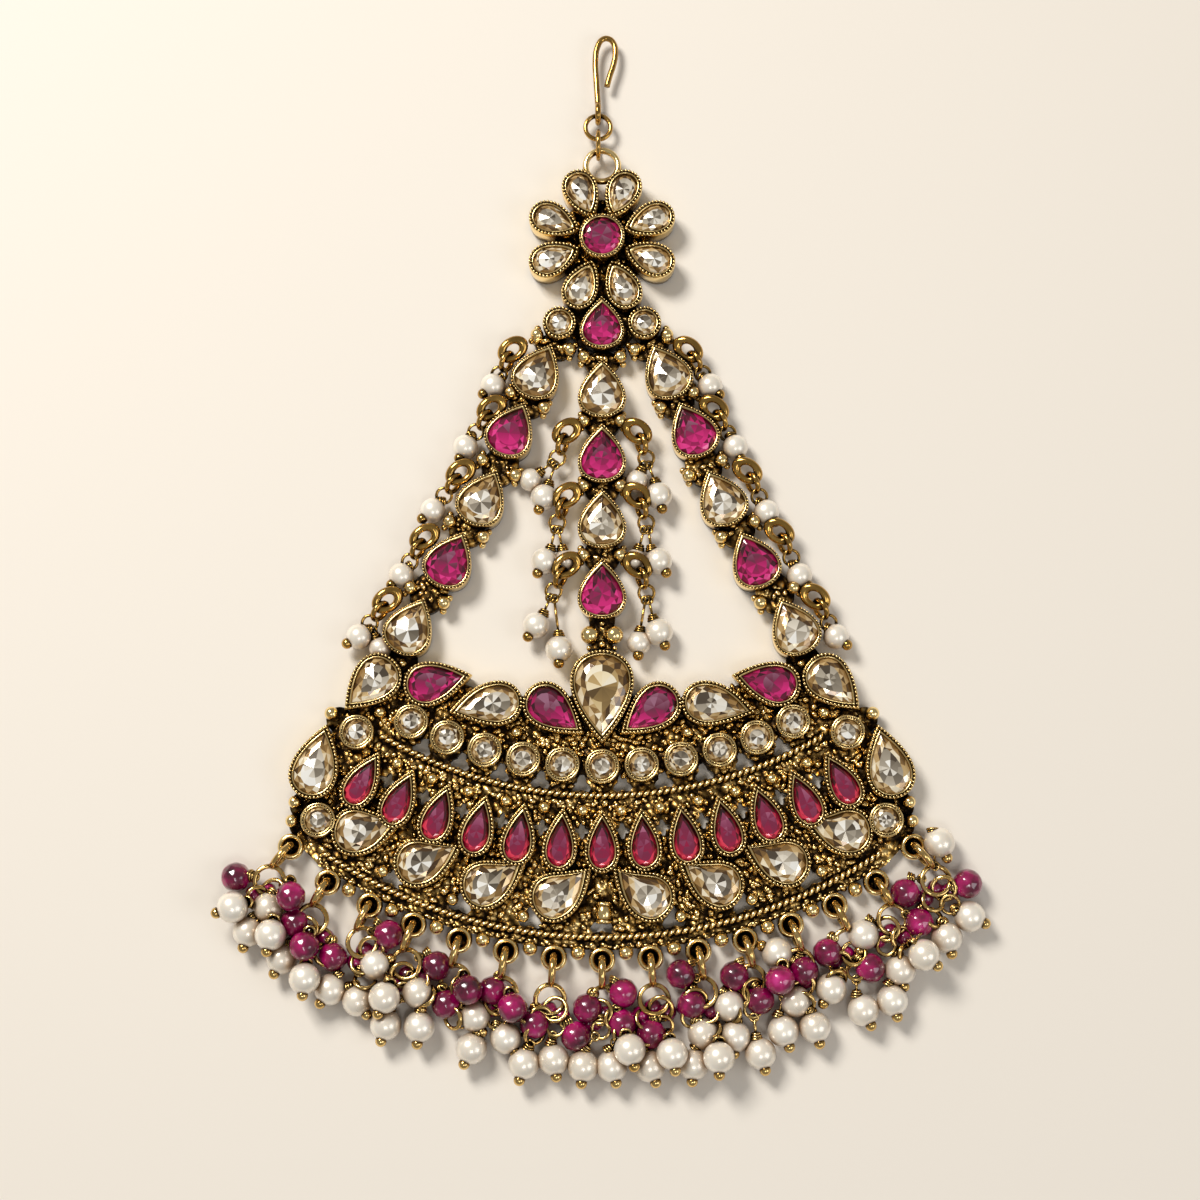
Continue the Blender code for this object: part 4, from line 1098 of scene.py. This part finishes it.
# Hook and rings
hookPlan = {
    "x": -0.5, "wire": 0.38, "eyeRadius": 1.15, "height": 1.53, "ringWire": 0.3,
    "route": [(0.0, 0.0), (-0.1, 1.6), (-0.25, 3.9), (-0.35, 6.4), (-0.05, 8.4), (0.6, 9.38),
              (1.4, 9.45), (2.05, 8.8), (2.25, 7.4), (2.0, 5.8), (1.5, 4.2), (1.15, 2.8)],
}


def makeHook():
    # rings and hook where the frame has them, in smooth fresh meshes
    plan = hookPlan
    onEdge = Matrix.Rotation(math.pi / 2, 4, "Y")
    flat = Matrix.Identity(4)
    rings = {"upper_jump_ring": ("upperJumpRing", flat), "lower_jump_ring": ("lowerJumpRing", onEdge)}
    for node, (name, lie) in rings.items():
        low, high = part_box(node)
        ring = Piece(name, [agedGold], "antique_gold", node)
        radius = (high.y - low.y) / 2 / mm - plan["ringWire"]
        ring.add(ringMesh(radius, plan["ringWire"]), Matrix.Translation((low + high) / 2) @ lie)
        ring.finish()
    low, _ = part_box("hook")
    eyeY = low.y / mm + plan["eyeRadius"] + plan["wire"]
    hook = Piece("wireHook", [agedGold], "antique_gold", "hook")
    hook.add(ringMesh(plan["eyeRadius"], plan["wire"]), at(plan["x"], eyeY, plan["height"]) @ onEdge)
    startY = eyeY + plan["eyeRadius"] - plan["wire"] / 2
    route = [(plan["x"] + x, startY + y, plan["height"]) for x, y in plan["route"]]
    hook.add(wireMesh(route, plan["wire"]))
    hook.finish()
    print("hook done")


def wireMesh(route, radius):
    # a round wire along a smooth curve, with its ends closed
    curve = bpy.data.curves.new("wire", "CURVE")
    curve.dimensions = "3D"
    curve.bevel_depth = radius * mm
    curve.bevel_resolution = 3
    curve.use_fill_caps = True
    spline = curve.splines.new("BEZIER")
    spline.bezier_points.add(len(route) - 1)
    for point, spot in zip(spline.bezier_points, route):
        point.co = [value * mm for value in spot]
        point.handle_left_type = point.handle_right_type = "AUTO"
    curve.resolution_u = 6
    path = linked("wire", curve)
    bpy.context.view_layer.update()
    mesh = bpy.data.meshes.new_from_object(path.evaluated_get(bpy.context.evaluated_depsgraph_get()))
    bpy.data.objects.remove(path)
    shape = bmesh.new()
    shape.from_mesh(mesh)
    bmesh.ops.remove_doubles(shape, verts=shape.verts, dist=0.0005 * mm)
    bmesh.ops.recalc_face_normals(shape, faces=shape.faces)
    return asMesh(shape)


# Studio
studio = {
    "look": (-0.000248, 0.012613, 0.0), "tilt": math.radians(10.5), "distance": 0.262, "lens": 62.82,
    "floor": 1.2, "floorTone": (0.765, 0.71, 0.635), "world": 0.27, "worldTone": (1.0, 0.97, 0.92, 1.0),
    "lamps": [
        ("key", (-0.27, 0.32, 0.46), 0.20, 3.75, (1.0, 0.975, 0.93)),
        ("fill", (0.30, -0.12, 0.28), 0.20, 0.30, (0.95, 0.97, 1.0)),
        ("top", (0.02, -0.20, 0.40), 0.10, 0.22, (1.0, 1.0, 1.0)),
    ],
}


def makeStudio():
    # pale floor, dim world, three lamps and a camera tilted from the vertical; in metres
    shape = bmesh.new()
    bmesh.ops.create_grid(shape, x_segments=1, y_segments=1, size=studio["floor"])
    floor = linked("floor", asMesh(shape, smooth=False))
    look = Look("paleFloor", Base_Color=studio["floorTone"], Roughness=0.85)
    floor.data.materials.append(look.material)
    world = bpy.data.worlds.new("studio")
    world.use_nodes = True
    background = world.node_tree.nodes["Background"]
    background.inputs["Color"].default_value = studio["worldTone"]
    background.inputs["Strength"].default_value = studio["world"]
    bpy.context.scene.world = world
    bpy.context.scene.view_settings.view_transform = "Standard"
    for name, spot, size, power, colour in studio["lamps"]:
        lamp = bpy.data.lights.new(name, "AREA")
        lamp.size = size
        lamp.energy = power
        lamp.color = colour
        made = linked(name, lamp)
        made.location = spot
        made.rotation_euler = (-Vector(spot)).to_track_quat("-Z", "Y").to_euler()
    camera = linked("camera", bpy.data.cameras.new("camera"))
    tilt = studio["tilt"]
    away = Vector((0, -math.sin(tilt), math.cos(tilt))) * studio["distance"]
    camera.location = Vector(studio["look"]) + away
    camera.rotation_euler = (tilt, 0, 0)
    camera.data.lens = studio["lens"]
    camera.data.clip_start = 0.001
    bpy.context.scene.camera = camera


makeStudio()
makeHook()
makeCrown()
for name, links, side in (
    ("left_strand", strandPlan["outer"], -1), ("right_strand", strandPlan["outer"], 1),
    ("centre_strand", strandPlan["centre"], 0),
):
    makeStrand(name, links, side)
    makeDrops(name)
print("strands done")
makeCrescent()
makeFringe()
